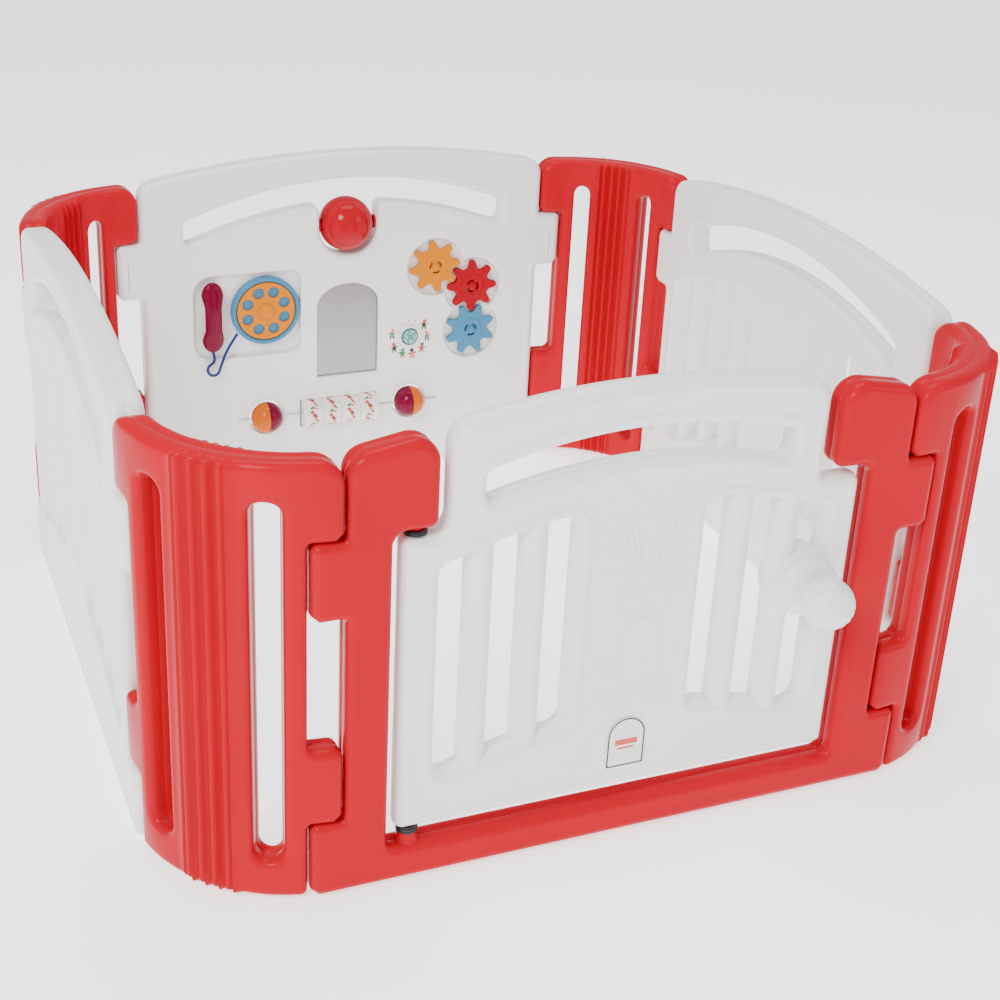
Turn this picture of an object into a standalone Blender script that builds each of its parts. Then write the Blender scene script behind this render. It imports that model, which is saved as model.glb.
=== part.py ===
"""A child's playpen of eight plastic panels.

Four flat sides (a gate in its frame, two barred fences and a wall of toys) hook into four
curved corner panels by finger tabs with pegs.  Metres, +Z up, the gate faces -Y, and the
origin is on the floor in the middle of the object's bounding box.
"""
import math

import bmesh
import bpy
from mathutils import Matrix, Vector

# ---------------------------------------------------------------- driving sizes
TOUCH = 0.0003            # gap left between pieces that touch
SEAM_GAP = 0.0025         # upright gap beside every finger tab
WALL = 0.045              # thickness of every panel
HALF_SPAN = 0.382         # middle of a flat side to its seam with a corner
CORNER_R = 0.203          # plan radius of a corner panel's mid line
HALF_PEN = HALF_SPAN + CORNER_R
HEIGHT = 0.600            # top of the panels at the seams
CROWN = 0.040             # how much higher the arched top is in the middle
PAD_H = 0.003             # anti-slip pads under the flat sides
BASE = PAD_H + TOUCH      # underside of every panel
EDGE = 0.008              # rounding of the moulded edges

TAB_REACH = 0.043         # how far a flat side's tabs pass the seam
LOW_TAB_TOP = 0.110
HIGH_TAB_LOW, HIGH_TAB_TOP = 0.395, 0.498
TAB_DRAFT = 0.0015        # the upper tab's underside rises this much towards its end
CORNER_TAB_TOP = 0.215    # top of a corner panel's lower tab
TAB_MID = HALF_SPAN + TAB_REACH / 2
PEG_R, PEG_TIP_R, PEG_LEN = 0.0095, 0.0070, 0.020
SOCKET_R, SOCKET_DEPTH = 0.0110, 0.022

SLOT_FALL = 0.67          # the handle slots and openings follow z = crown - fall * x * x
SLOT_TOP, SLOT_LOW = 0.592, 0.547
GRILLE_TOP, GRILLE_LOW = 0.4895, 0.190
GRILLE_START = 0.089      # the plain middle plate is twice this wide
GAP_W, BAR_W = 0.034, 0.037

HINGE_X = -0.294
STILE_R = 0.0205
POST_X = 0.326            # inner edge of the gate posts
T_X = 0.270               # inner end of the tabs at the posts' tops
T_LOW = 0.499
SILL_TOP = 0.052
DOOR_T = 0.042
DOOR_R = 0.312            # door's latch edge
DOOR_LOW, DOOR_STEP = 0.0755, 0.488
DOOR_NECK = (-0.258, 0.253)
DOOR_CROWN, DOOR_FALL = 0.650, 0.40
PIN_R = 0.006

LATCH_X, LATCH_Z = 0.240, 0.343
ROSE_R, ROSE_OUT = 0.042, 0.046
KNOB_R = 0.034
KNOB_Y = 0.081            # knob's centre in front of the door's mid plane
KNOB_FRONT = KNOB_Y + KNOB_R
SPINDLE_R = 0.008

BALL_R = 0.050
BALL_Z = 0.503
NOTCH_R = 0.055
GEAR_D, GEAR_TIP, GEAR_ROOT = 0.088, 0.0505, 0.0350
GEAR_TEETH = 8
GEAR_RED = (0.249, 0.366)
PHONE_MID = (-0.192, 0.3485)
DIAL_AT = (-0.158, 0.355)
HANDSET_AT = (-0.2585, 0.3525)
MUSIC_AT = (0.123, 0.277)
ROLLER_AT = (-0.018, 0.1435)
ROLLER_R, ROLLER_W = 0.0265, 0.0365
SPINNER_X = (-0.159, 0.125)
SPINNER_R = 0.0296
ROD_R = 0.0020
MIRROR_HALF = 0.0595
RECESS = 0.012            # depth of the toys' recesses

# the pen's own centre, so that knob and ball leave the bounding box centred on the origin
PEN_Y = (KNOB_FRONT - BALL_R) / 2
FRONT_Y, BACK_Y = PEN_Y - HALF_PEN, PEN_Y + HALF_PEN
FACE_Y = BACK_Y - WALL / 2          # inner face of the wall of toys

# ---------------------------------------------------------------- colours
PALETTE = {
    "red_plastic": ((0.80, 0.012, 0.018), 0.32, 0.0),
    "white_plastic": ((0.83, 0.82, 0.80), 0.38, 0.0),
    "black_nylon": ((0.012, 0.012, 0.013), 0.45, 0.0),
    "cream_rubber": ((0.75, 0.67, 0.50), 0.85, 0.0),
    "yellow_plastic": ((0.90, 0.34, 0.010), 0.30, 0.0),
    "blue_plastic": ((0.15, 0.42, 0.65), 0.30, 0.0),
    "gear_red_plastic": ((0.62, 0.010, 0.020), 0.30, 0.0),
    "magenta_plastic": ((0.33, 0.008, 0.065), 0.22, 0.0),
    "orange_plastic": ((0.85, 0.25, 0.015), 0.22, 0.0),
    "ball_red_plastic": ((0.72, 0.008, 0.012), 0.12, 0.0),
    "navy_cord": ((0.004, 0.030, 0.20), 0.75, 0.0),
    "bright_rod": ((0.62, 0.62, 0.64), 0.18, 1.0),
    "mirror_film": ((0.70, 0.71, 0.72), 0.08, 1.0),
    "ivory_plastic": ((0.80, 0.77, 0.70), 0.30, 0.0),
    "printed_label": ((0.78, 0.78, 0.78), 0.40, 0.0),
}


def material(name):
    """The named material, made on first use."""
    found = bpy.data.materials.get(name)
    if found:
        return found
    colour, roughness, metallic = PALETTE[name]
    made = bpy.data.materials.new(name)
    made.use_nodes = True
    shader = made.node_tree.nodes["Principled BSDF"]
    shader.inputs["Base Color"].default_value = (*colour, 1.0)
    shader.inputs["Roughness"].default_value = roughness
    shader.inputs["Metallic"].default_value = metallic
    return made


# ---------------------------------------------------------------- outlines
def crown(x, top, fall):
    """Height of an arched edge at x."""
    return top - fall * x * x


def wall_top(x):
    return crown(x, HEIGHT + CROWN, CROWN / HALF_SPAN ** 2)


def rounded(corners, steps=2):
    """Closed outline through (x, z, radius) corners, each turned by an arc of that radius."""
    points = []
    for i, (x, z, radius) in enumerate(corners):
        here = Vector((x, z))
        if radius == 0:
            points.append(here)
            continue
        back = (Vector(corners[i - 1][:2]) - here).normalized()
        ahead = (Vector(corners[(i + 1) % len(corners)][:2]) - here).normalized()
        half = back.angle(ahead) / 2
        centre = here + (back + ahead).normalized() * radius / math.sin(half)
        start = here + back * radius / math.tan(half) - centre
        turn = start.angle_signed(here + ahead * radius / math.tan(half) - centre)
        for k in range(steps + 1):
            points.append(centre + Matrix.Rotation(-turn * k / steps, 2) @ start)
    return [(p.x, p.y) for p in points]


def ellipse(x, z, rx, rz, steps):
    return [(x + rx * math.cos(math.tau * k / steps), z + rz * math.sin(math.tau * k / steps))
            for k in range(steps)]


def arched_band(x0, x1, top, low, fall, radius, inner=3):
    """Opening between two parallel arched edges, with rounded corners."""
    inside = [x0 + (x1 - x0) * (k + 1) / (inner + 1) for k in range(inner)]
    corners = [(x0, crown(x0, low, fall), radius)]
    corners += [(x, crown(x, low, fall), 0) for x in inside]
    corners += [(x1, crown(x1, low, fall), radius), (x1, crown(x1, top, fall), radius)]
    corners += [(x, crown(x, top, fall), 0) for x in reversed(inside)]
    corners += [(x0, crown(x0, top, fall), radius)]
    return rounded(corners)


def tab_corners(side):
    """The finger tabs on one end of a flat side, from the floor up for side = 1."""
    end = HALF_SPAN + TAB_REACH
    run = [(end, BASE, 0.010), (end, LOW_TAB_TOP, 0.009), (HALF_SPAN, LOW_TAB_TOP, 0.006),
           (HALF_SPAN, HIGH_TAB_LOW, 0.006), (end, HIGH_TAB_LOW + TAB_DRAFT, 0.010),
           (end, HIGH_TAB_TOP, 0.009), (HALF_SPAN, HIGH_TAB_TOP, 0.006),
           (HALF_SPAN, HEIGHT, 0.030)]
    if side > 0:
        return run
    return [(-x, z, r) for x, z, r in reversed(run)]


def arched_side():
    """Outline of a full flat side with its arched top."""
    top = [(x * HALF_SPAN, wall_top(x * HALF_SPAN), 0)
           for x in (0.75, 0.5, 0.25, 0, -0.25, -0.5, -0.75)]
    return rounded(tab_corners(1) + top + tab_corners(-1))


def grille(gaps, side):
    """The openings between round bars on one side of the middle plate."""
    loops = []
    for k in range(gaps):
        start = GRILLE_START + k * (GAP_W + BAR_W)
        ends = sorted((side * start, side * (start + GAP_W)))
        loops.append(arched_band(*ends, GRILLE_TOP, GRILLE_LOW, SLOT_FALL, 0.009, inner=1))
    return loops


# ---------------------------------------------------------------- object makers
def add(name, data, slot, location=(0, 0, 0), turn=0.0):
    """One named sub-part in the object's collection, turned about Z."""
    made = bpy.data.objects.new(name, data)
    parts.objects.link(made)
    data.materials.clear()
    data.materials.append(material(slot))
    made.location = location
    made.rotation_euler = (0, 0, turn)
    return made


def bm_mesh(name, bm):
    mesh = bpy.data.meshes.new(name)
    bm.to_mesh(mesh)
    bm.free()
    return mesh


def divide(bm, at):
    """Add edges where the plane x = at crosses the mesh."""
    bmesh.ops.bisect_plane(bm, geom=bm.verts[:] + bm.edges[:] + bm.faces[:], dist=1e-6,
                           plane_co=(at, 0, 0), plane_no=(1, 0, 0))


def plate_mesh(name, loops, thickness, edge=0.0, folds=()):
    """Upright plate from (x, z) outlines, centred on y = 0, with chamfered edges and folds."""
    curve = bpy.data.curves.new(name, "CURVE")
    curve.dimensions = "2D"
    curve.fill_mode = "BOTH"
    curve.extrude = thickness / 2 - edge
    curve.bevel_depth = edge
    curve.bevel_resolution = 0
    curve.offset = -edge
    for loop in loops:
        spline = curve.splines.new("POLY")
        spline.points.add(len(loop) - 1)
        for point, (x, z) in zip(spline.points, loop):
            point.co = (x, z, 0, 1)
        spline.use_cyclic_u = True
    carrier = bpy.data.objects.new(name, curve)
    parts.objects.link(carrier)
    bpy.context.view_layer.update()
    graph = bpy.context.evaluated_depsgraph_get()
    mesh = bpy.data.meshes.new_from_object(carrier.evaluated_get(graph))
    bpy.data.objects.remove(carrier)
    bm = bmesh.new()
    bm.from_mesh(mesh)
    bmesh.ops.remove_doubles(bm, verts=bm.verts, dist=1e-6)
    bmesh.ops.dissolve_degenerate(bm, dist=1e-5, edges=bm.edges)
    bmesh.ops.dissolve_limit(bm, angle_limit=math.radians(0.4), verts=bm.verts, edges=bm.edges)
    for fold in folds:
        divide(bm, fold)
    bmesh.ops.triangulate(bm, faces=bm.faces)
    bmesh.ops.rotate(bm, verts=bm.verts, matrix=Matrix.Rotation(math.pi / 2, 3, "X"))
    bmesh.ops.recalc_face_normals(bm, faces=bm.faces)
    bm.to_mesh(mesh)
    bm.free()
    return mesh


def rod_mesh(name, low_r, high_r, start, end, sides=20):
    """Cylinder or cone from one point to another."""
    start, end = Vector(start), Vector(end)
    along = end - start
    bm = bmesh.new()
    bmesh.ops.create_cone(bm, cap_ends=True, segments=sides, radius1=low_r, radius2=high_r,
                          depth=along.length)
    lean = Vector((0, 0, 1)).rotation_difference(along).to_matrix().to_4x4()
    bmesh.ops.transform(bm, verts=bm.verts, matrix=Matrix.Translation((start + end) / 2) @ lean)
    return bm_mesh(name, bm)


def merged(name, meshes):
    """Several closed shells in one mesh, as one cutter."""
    bm = bmesh.new()
    for mesh in meshes:
        bm.from_mesh(mesh)
    return bm_mesh(name, bm)


def cut(target, mesh, operation="DIFFERENCE"):
    """Boolean with a hidden tool shape that follows the target."""
    tool = bpy.data.objects.new(mesh.name, mesh)
    cutters.objects.link(tool)
    tool.parent = target
    tool.hide_render = True
    tool.display_type = "WIRE"
    step = target.modifiers.new(mesh.name, "BOOLEAN")
    step.operation = operation
    step.solver = "EXACT"
    step.object = tool


def turned(name, slot, profile, location, axis, steps=24, closed=True):
    """Piece turned about its own Z, then stood along the axis; the profile runs down outside."""
    bm = bmesh.new()
    verts = [bm.verts.new((r, 0, z)) for r, z in profile]
    for a, b in zip(verts, verts[1:]):
        bm.edges.new((a, b))
    if closed:
        bm.edges.new((verts[-1], verts[0]))
    made = add(name, bm_mesh(name, bm), slot, location)
    made.rotation_euler = Vector((0, 0, 1)).rotation_difference(Vector(axis)).to_euler()
    spin = made.modifiers.new("turn", "SCREW")
    spin.steps = spin.render_steps = steps
    spin.use_merge_vertices = True
    spin.merge_threshold = 0.00001
    return made


def arc_points(x, z, radius, start, end, steps):
    """(x, z) points on an arc, angles in degrees."""
    angles = [math.radians(start + (end - start) * k / steps) for k in range(steps + 1)]
    return [(x + radius * math.cos(a), z + radius * math.sin(a)) for a in angles]


# ---------------------------------------------------------------- flat sides
def sockets():
    """Holes in the tabs' tops that take the corner panels' pegs."""
    shapes = []
    for x in (-TAB_MID, TAB_MID):
        for top in (LOW_TAB_TOP, HIGH_TAB_TOP):
            shapes.append(rod_mesh("socket", SOCKET_R, SOCKET_R, (x, 0, top - SOCKET_DEPTH),
                                   (x, 0, top + 0.004), 8))
    return merged("sockets", shapes)


def fence(name, x, turn):
    """Barred side with a handle slot and two groups of upright bars."""
    loops = [arched_side(), arched_band(-0.305, 0.305, SLOT_TOP, SLOT_LOW, SLOT_FALL, 0.012, 7)]
    loops += grille(4, -1) + grille(4, 1)
    panel = add(name, plate_mesh(name, loops, WALL, EDGE), "white_plastic", (x, PEN_Y, 0), turn)
    cut(panel, sockets())


def gate_frame():
    """U-shaped frame: two posts with inward tabs at the top, and a sill."""
    def inside(side):
        """Post's inner edge from the sill to the top, for side = 1 read from the top down."""
        run = [(T_X, wall_top(T_X), 0.030), (T_X, T_LOW, 0.012), (POST_X, T_LOW, 0.016),
               (POST_X, SILL_TOP, 0.012)]
        return run if side > 0 else [(-x, z, r) for x, z, r in reversed(run)]
    outline = rounded(tab_corners(1) + inside(1) + inside(-1) + tab_corners(-1))
    frame = add("gate_frame", plate_mesh("gate_frame", [outline], WALL, EDGE), "red_plastic",
                (0, FRONT_Y, 0))
    cut(frame, sockets())
    bosses = [rod_mesh("boss", 0.0105, 0.0140, (HINGE_X, 0, T_LOW - 0.0043),
                       (HINGE_X, 0, T_LOW + 0.005)),
              rod_mesh("boss", 0.0160, 0.0120, (HINGE_X, 0, SILL_TOP - 0.005),
                       (HINGE_X, 0, SILL_TOP + 0.0135))]
    cut(frame, merged("hinge_bosses", bosses), "UNION")


def hinge_bushes():
    """Two black flanged bushes whose pins carry the door's stile."""
    flange_top, flange_low = T_LOW - 0.0043 - TOUCH, DOOR_STEP + TOUCH
    turned("hinge_bush_top", "black_nylon",
           [(0, flange_top), (0.0145, flange_top), (0.0145, flange_low), (PIN_R, flange_low),
            (PIN_R, flange_low - 0.022), (0, flange_low - 0.022)], (HINGE_X, FRONT_Y, 0), (0, 0, 1),
           closed=False)
    low, top = SILL_TOP + 0.0135 + TOUCH, DOOR_LOW - TOUCH
    turned("hinge_bush_bottom", "black_nylon",
           [(0, top + 0.022), (PIN_R, top + 0.022), (PIN_R, top), (0.0145, top), (0.0145, low),
            (0, low)], (HINGE_X, FRONT_Y, 0), (0, 0, 1), closed=False)


def gate_door():
    """Door with its own handle slot and bars, hung on the stile at its left."""
    left, right = DOOR_NECK
    stile = HINGE_X - STILE_R
    top = [(x, crown(x, DOOR_CROWN, DOOR_FALL), 0) for x in (0.17, 0.085, 0, -0.085, -0.17)]
    outline = rounded([(stile, DOOR_LOW, 0.010), (DOOR_R, DOOR_LOW, 0.012),
                       (DOOR_R, DOOR_STEP, 0.014), (right, DOOR_STEP, 0.009),
                       (right, crown(right, DOOR_CROWN, DOOR_FALL), 0.034)] + top
                      + [(left, crown(left, DOOR_CROWN, DOOR_FALL), 0.034),
                         (left, DOOR_STEP, 0.018), (stile, DOOR_STEP, 0.010)])
    loops = [outline, arched_band(-0.212, 0.206, SLOT_TOP, SLOT_LOW, SLOT_FALL, 0.012, 5)]
    loops += grille(3, -1) + grille(3, 1)
    mesh = plate_mesh("gate_door", loops, DOOR_T, EDGE)
    mesh.transform(Matrix.Translation((-HINGE_X, 0, 0)))
    door = add("gate_door", mesh, "white_plastic", (HINGE_X, FRONT_Y, 0))
    boss_x = LATCH_X - HINGE_X
    cut(door, rod_mesh("latch_boss", 0.045, 0.045, (boss_x, -DOOR_T / 2 - 0.006, LATCH_Z),
                       (boss_x, DOOR_T / 2 - 0.002, LATCH_Z), 28), "UNION")
    hole = PIN_R + TOUCH
    bores = [rod_mesh("bore", hole, hole, (0, 0, DOOR_STEP - 0.025), (0, 0, DOOR_STEP + 0.01), 16),
             rod_mesh("bore", hole, hole, (0, 0, DOOR_LOW - 0.01), (0, 0, DOOR_LOW + 0.025), 16),
             rod_mesh("bore", SPINDLE_R + TOUCH, SPINDLE_R + TOUCH, (boss_x, -0.06, LATCH_Z),
                      (boss_x, 0.06, LATCH_Z), 20)]
    cut(door, merged("door_bores", bores))


def latch():
    """Round rose on the door, and the knob, spindle and tongue that turn together."""
    rose_back = DOOR_T / 2 + 0.006 + TOUCH
    bore = SPINDLE_R + TOUCH
    turned("latch_rose", "white_plastic",
           [(bore, ROSE_OUT), (0.024, ROSE_OUT), (0.036, ROSE_OUT - 0.006), (ROSE_R, ROSE_OUT - 0.014),
            (ROSE_R, rose_back), (bore, rose_back)], (LATCH_X, FRONT_Y, LATCH_Z), (0, -1, 0), 32)
    neck = ROSE_OUT + TOUCH
    ball = arc_points(0, KNOB_Y, KNOB_R, 90, -58, 7)
    turned("latch_knob", "white_plastic",
           [(max(r, 0), z) for r, z in ball] + [(0.016, neck + 0.006), (0.016, neck), (0, neck)],
           (LATCH_X, FRONT_Y, LATCH_Z), (0, -1, 0), 20, closed=False)
    inner = DOOR_T / 2 + TOUCH
    turned("latch_spindle", "white_plastic",
           [(0, neck - TOUCH), (SPINDLE_R, neck - TOUCH), (SPINDLE_R, -inner), (0, -inner)],
           (LATCH_X, FRONT_Y, LATCH_Z), (0, -1, 0), 20, closed=False)
    outline = rounded([(-0.015, -0.102, 0.013), (0.015, -0.102, 0.013), (0.017, 0.017, 0.013),
                       (-0.017, 0.017, 0.013)])
    mesh = plate_mesh("latch_tongue", [outline], 0.008, 0.0015)
    tongue_y = WALL / 2 + 0.0075
    tongue = add("latch_tongue", mesh, "white_plastic", (LATCH_X, FRONT_Y, LATCH_Z))
    mesh.transform(Matrix.Translation((0, tongue_y, 0)))
    cut(tongue, rod_mesh("tongue_hub", 0.013, 0.013, (0, inner + TOUCH, 0), (0, tongue_y, 0), 20),
        "UNION")


def door_label():
    """Thin arched label on the plain plate in the door."""
    half, low, shoulder = 0.027, 0.110, 0.157
    outline = [(-half, low), (half, low)] + arc_points(0, shoulder, half, 0, 180, 8)
    mesh = plate_mesh("door_label", [outline], 0.0008)
    add("door_label", mesh, "printed_label", (0, FRONT_Y - DOOR_T / 2 - TOUCH - 0.0004, 0))


# ---------------------------------------------------------------- corner panels
ARC = CORNER_R * math.pi / 2                     # length of a corner panel's mid line
RIB_START, RIB_END = math.radians(35.5), math.radians(54.5)
RIBS = 4
RIB_CREST, RIB_GROOVE = 0.003, 0.004             # above and below the plain surface


def corner_outline():
    """Corner panel rolled out flat: x runs along its mid line, z is up."""
    tab = CORNER_R * math.asin(SEAM_GAP / CORNER_R)
    body = CORNER_R * math.asin((TAB_REACH + SEAM_GAP) / CORNER_R)
    low, high = LOW_TAB_TOP + TOUCH, HIGH_TAB_TOP + TOUCH
    left = [(tab, HEIGHT, 0.032), (tab, high, 0.010), (body, high, 0.005),
            (body, CORNER_TAB_TOP, 0.010), (tab, CORNER_TAB_TOP, 0.009), (tab, low, 0.009),
            (body, low, 0.005), (body, BASE, 0.008)]
    right = [(ARC - x, z, r) for x, z, r in reversed(left)]
    loops = [rounded(left + right)]
    for middle in (math.radians(25) * CORNER_R, math.radians(65) * CORNER_R):
        loops.append(rounded([(middle - 0.0172, 0.055, 0.0165), (middle + 0.0172, 0.055, 0.0165),
                              (middle + 0.0172, 0.550, 0.0165), (middle - 0.0172, 0.550, 0.0165)]))
    return loops


def rib_height(angle):
    """How far the ribbed surface stands off the plain one at this plan angle."""
    if not RIB_START < angle < RIB_END:
        return 0.0
    phase = (angle - RIB_START) / (RIB_END - RIB_START) * RIBS
    return abs(math.sin(phase * math.pi)) * (RIB_CREST + RIB_GROOVE) - RIB_GROOVE


def rolled(point):
    """Where a point of the flat panel lies once it is rolled round the quarter circle."""
    angle = point.x / CORNER_R
    mid = Vector((-math.sin(angle), -math.cos(angle), 0)) * CORNER_R
    # the ends stay square to the flat sides, so the tabs meet face to face
    square = math.radians(13.5)
    free = min(max((min(angle, math.pi / 2 - angle) - square) / math.radians(14), 0), 1)
    free = free * free * (3 - 2 * free)
    end = 0 if angle < math.pi / 4 else math.pi / 2
    facing = end + (angle - end) * free
    outward = Vector((-math.sin(facing), -math.cos(facing), 0))
    off = -point.y
    off += math.copysign(rib_height(angle) * (abs(off) / (WALL / 2)) ** 2, off)
    return mid + outward * off + Vector((0, 0, point.z))


def corner_mesh():
    folds = [math.radians(a) for a in (17, 24, 31, 59, 66, 73)]
    folds += [RIB_START + (RIB_END - RIB_START) * k / (RIBS * 3) for k in range(RIBS * 3 + 1)]
    mesh = plate_mesh("corner_panel", corner_outline(), WALL, EDGE,
                      [angle * CORNER_R for angle in folds])
    for vert in mesh.vertices:
        vert.co = rolled(vert.co)
    return mesh


def corner_pegs():
    """Conical pegs under the tabs of one corner panel."""
    shapes = []
    for x, y in ((-TAB_REACH / 2, -CORNER_R), (-CORNER_R, -TAB_REACH / 2)):
        for low in (LOW_TAB_TOP + TOUCH, HIGH_TAB_TOP + TOUCH):
            shapes.append(rod_mesh("peg", PEG_TIP_R, PEG_R, (x, y, low - PEG_LEN), (x, y, low + 0.008),
                                   8))
    return merged("pegs", shapes)


def corners():
    """Four equal corner panels, each with its origin at the middle of its quarter circle."""
    names = ("front_left", "front_right", "back_right", "back_left")
    for k, name in enumerate(names):
        x = -HALF_SPAN if "left" in name else HALF_SPAN
        y = -HALF_SPAN if "front" in name else HALF_SPAN
        panel = add("corner_" + name, corner_mesh(), "red_plastic", (x, PEN_Y + y, 0),
                    k * math.pi / 2)
        cut(panel, corner_pegs(), "UNION")


def foot_pads():
    """Thin anti-slip pads near both ends of each flat side."""
    sides = {"front": (0, FRONT_Y, 0), "right": (HALF_PEN, PEN_Y, math.pi / 2),
             "back": (0, BACK_Y, math.pi), "left": (-HALF_PEN, PEN_Y, -math.pi / 2)}
    for side, (x, y, turn) in sides.items():
        for number, along in enumerate((-0.345, 0.345), 1):
            bm = bmesh.new()
            bmesh.ops.create_cube(bm, size=1)
            bmesh.ops.scale(bm, verts=bm.verts, vec=(0.080, 0.022, PAD_H))
            bmesh.ops.translate(bm, verts=bm.verts, vec=(along, 0, PAD_H / 2))
            name = f"foot_pad_{side}_{number}"
            add(name, bm_mesh(name, bm), "cream_rubber", (x, y, 0), turn)


# ---------------------------------------------------------------- wall of toys
def recess(loop, depth=RECESS):
    """Cutter for a shallow recess in the wall's inner face."""
    mesh = plate_mesh("recess", [loop], depth + 0.02)
    mesh.transform(Matrix.Translation((0, -WALL / 2 - 0.01 + depth / 2, 0)))
    return mesh


def gear_centres():
    x, z = GEAR_RED
    up = math.radians(150)
    return {"yellow": (x + GEAR_D * math.cos(up), z + GEAR_D * math.sin(up)),
            "red": (x, z), "blue": (x, z - GEAR_D)}


def mirror_outline(grow):
    half, low, shoulder, top = MIRROR_HALF + grow, 0.212 - grow, 0.350, 0.393 + grow
    crest = [(half * math.cos(a), shoulder + (top - shoulder) * math.sin(a))
             for a in (math.pi * k / 10 for k in range(11))]
    return [(-half, low), (half, low)] + crest


def phone_outline():
    x, z = PHONE_MID
    return rounded([(x - 0.1, z - 0.08, 0.034), (x + 0.1, z - 0.08, 0.018),
                    (x + 0.1, z + 0.08, 0.018), (x - 0.1, z + 0.08, 0.034)], 5)


def toy_wall():
    """Back side: handle slot with a notch for the ball, recesses, window and round holes."""
    notch_z = crown(NOTCH_R, SLOT_LOW, SLOT_FALL)
    low = [(x, crown(x, SLOT_LOW, SLOT_FALL), 0) for x in (-0.24, -0.18, -0.12)]
    low += [(-NOTCH_R, notch_z, 0.014)]
    low += [(x, z, 0) for x, z in arc_points(0, BALL_Z, NOTCH_R, 180, 360, 10)]
    low += [(-x, z, r) for x, z, r in reversed(low[:4])]
    ends = crown(0.305, SLOT_LOW, SLOT_FALL)
    top = [(x, crown(x, SLOT_TOP, SLOT_FALL), 0) for x in (0.225, 0.15, 0.075, 0, -0.075, -0.15, -0.225)]
    slot = rounded([(-0.305, ends, 0.012)] + low + [(0.305, ends, 0.012),
                   (0.305, crown(0.305, SLOT_TOP, SLOT_FALL), 0.012)] + top
                   + [(-0.305, crown(0.305, SLOT_TOP, SLOT_FALL), 0.012)])
    x, z = ROLLER_AT
    half_w, half_h = 2 * ROLLER_W + 0.003, ROLLER_R + 0.0035
    window = rounded([(x - half_w, z - half_h, 0.004), (x + half_w, z - half_h, 0.004),
                      (x + half_w, z + half_h, 0.004), (x - half_w, z + half_h, 0.004)], 2)
    mesh = plate_mesh("toy_wall", [arched_side(), slot], WALL, EDGE, (0.0,))
    wall = add("toy_wall", mesh, "white_plastic", (0, BACK_Y, 0))
    cut(wall, sockets())
    cut(wall, merged("square_recesses", [recess(phone_outline()), recess(mirror_outline(0.002))]))
    for colour, (gx, gz) in gear_centres().items():
        cut(wall, rod_mesh("recess_" + colour, GEAR_TIP + 0.006, GEAR_TIP + 0.006,
                           (gx, -WALL, gz), (gx, RECESS - WALL / 2, gz), 24))
    through = [plate_mesh("window", [window], WALL * 2)]
    for hole in SPINNER_X:
        through.append(plate_mesh("hole", [ellipse(hole, z, 0.034, 0.034, 24)], WALL * 2))
    cut(wall, merged("through_holes", through))
    groove_y = -WALL / 2
    bores = [rod_mesh("bore", ROD_R + TOUCH, ROD_R + TOUCH, (-0.215, groove_y, z),
                      (0.181, groove_y, z), 10),
             rod_mesh("bore", 0.0083, 0.0083, (-0.0773, 0, BALL_Z), (0.0773, 0, BALL_Z), 16),
             rod_mesh("bore", 0.0168, 0.0168, (MUSIC_AT[0], -WALL, MUSIC_AT[1]),
                      (MUSIC_AT[0], -WALL / 2 + 0.008, MUSIC_AT[1]), 20)]
    cut(wall, merged("bores", bores))


def gear_mesh(name):
    """Eight rounded teeth round a plate with a bore and three arc windows."""
    loop = []
    wide, narrow = 0.0095, 0.0068
    for k in range(GEAR_TEETH):
        base = math.sqrt(GEAR_ROOT ** 2 - wide ** 2)
        tooth = [(base, -wide)] + arc_points(GEAR_TIP - narrow, 0, narrow, -80, 80, 3) + [(base, wide)]
        valley = math.pi / GEAR_TEETH
        tooth.append((GEAR_ROOT * math.cos(valley), GEAR_ROOT * math.sin(valley)))
        spin = Matrix.Rotation(math.tau * k / GEAR_TEETH, 2)
        loop += [tuple(spin @ Vector(p)) for p in tooth]
    loops = [loop, ellipse(0, 0, 0.0043, 0.0043, 12)]
    for k in range(3):
        middle = 120 * k + 90
        outer = arc_points(0, 0, 0.0165, middle - 40, middle + 40, 3)
        inner = arc_points(0, 0, 0.0105, middle + 34, middle - 34, 2)
        loops.append(outer + inner)
    return plate_mesh(name, loops, 0.009)


def gears():
    """Three meshing gears turning on pins in the wall; neighbours are half a tooth apart."""
    centres = gear_centres()
    pitch = math.tau / GEAR_TEETH
    start = {"red": -math.pi / 2}
    for other in ("yellow", "blue"):
        line = Vector(centres[other]) - Vector(centres["red"])
        ahead = math.atan2(line.y, line.x)
        start[other] = 2 * ahead + math.pi - start["red"] - pitch / 2
    slots = {"yellow": "yellow_plastic", "red": "gear_red_plastic", "blue": "blue_plastic"}
    floor = FACE_Y + RECESS
    for colour, (x, z) in centres.items():
        name = "gear_" + colour
        mesh = gear_mesh(name)
        mesh.transform(Matrix.Rotation(-start[colour], 4, "Y"))
        add(name, mesh, slots[colour], (x, floor - 0.0015 - 0.0045, z))
        turned("gear_pin_" + colour, slots[colour],
               [(0, 0.016), (0.0075, 0.0145), (0.0075, 0.0108), (0.0040, 0.0108), (0.0040, TOUCH),
                (0, TOUCH)], (x, floor, z), (0, -1, 0), 20, closed=False)


def ball():
    """Big ball in the notch of the handle slot, turning on a fixed axle."""
    bore = 0.0083
    lean = math.degrees(math.asin(bore / BALL_R))
    turned("spin_ball", "ball_red_plastic",
           [(bore, BALL_R * math.cos(math.radians(lean)))]
           + arc_points(0, 0, BALL_R, 70, -70, 8)
           + [(bore, -BALL_R * math.cos(math.radians(lean)))], (0, BACK_Y, BALL_Z), (1, 0, 0), 20)
    add("ball_axle", rod_mesh("ball_axle", 0.008, 0.008, (-0.077, 0, 0), (0.077, 0, 0), 16),
        "ball_red_plastic", (0, BACK_Y, BALL_Z))


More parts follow.
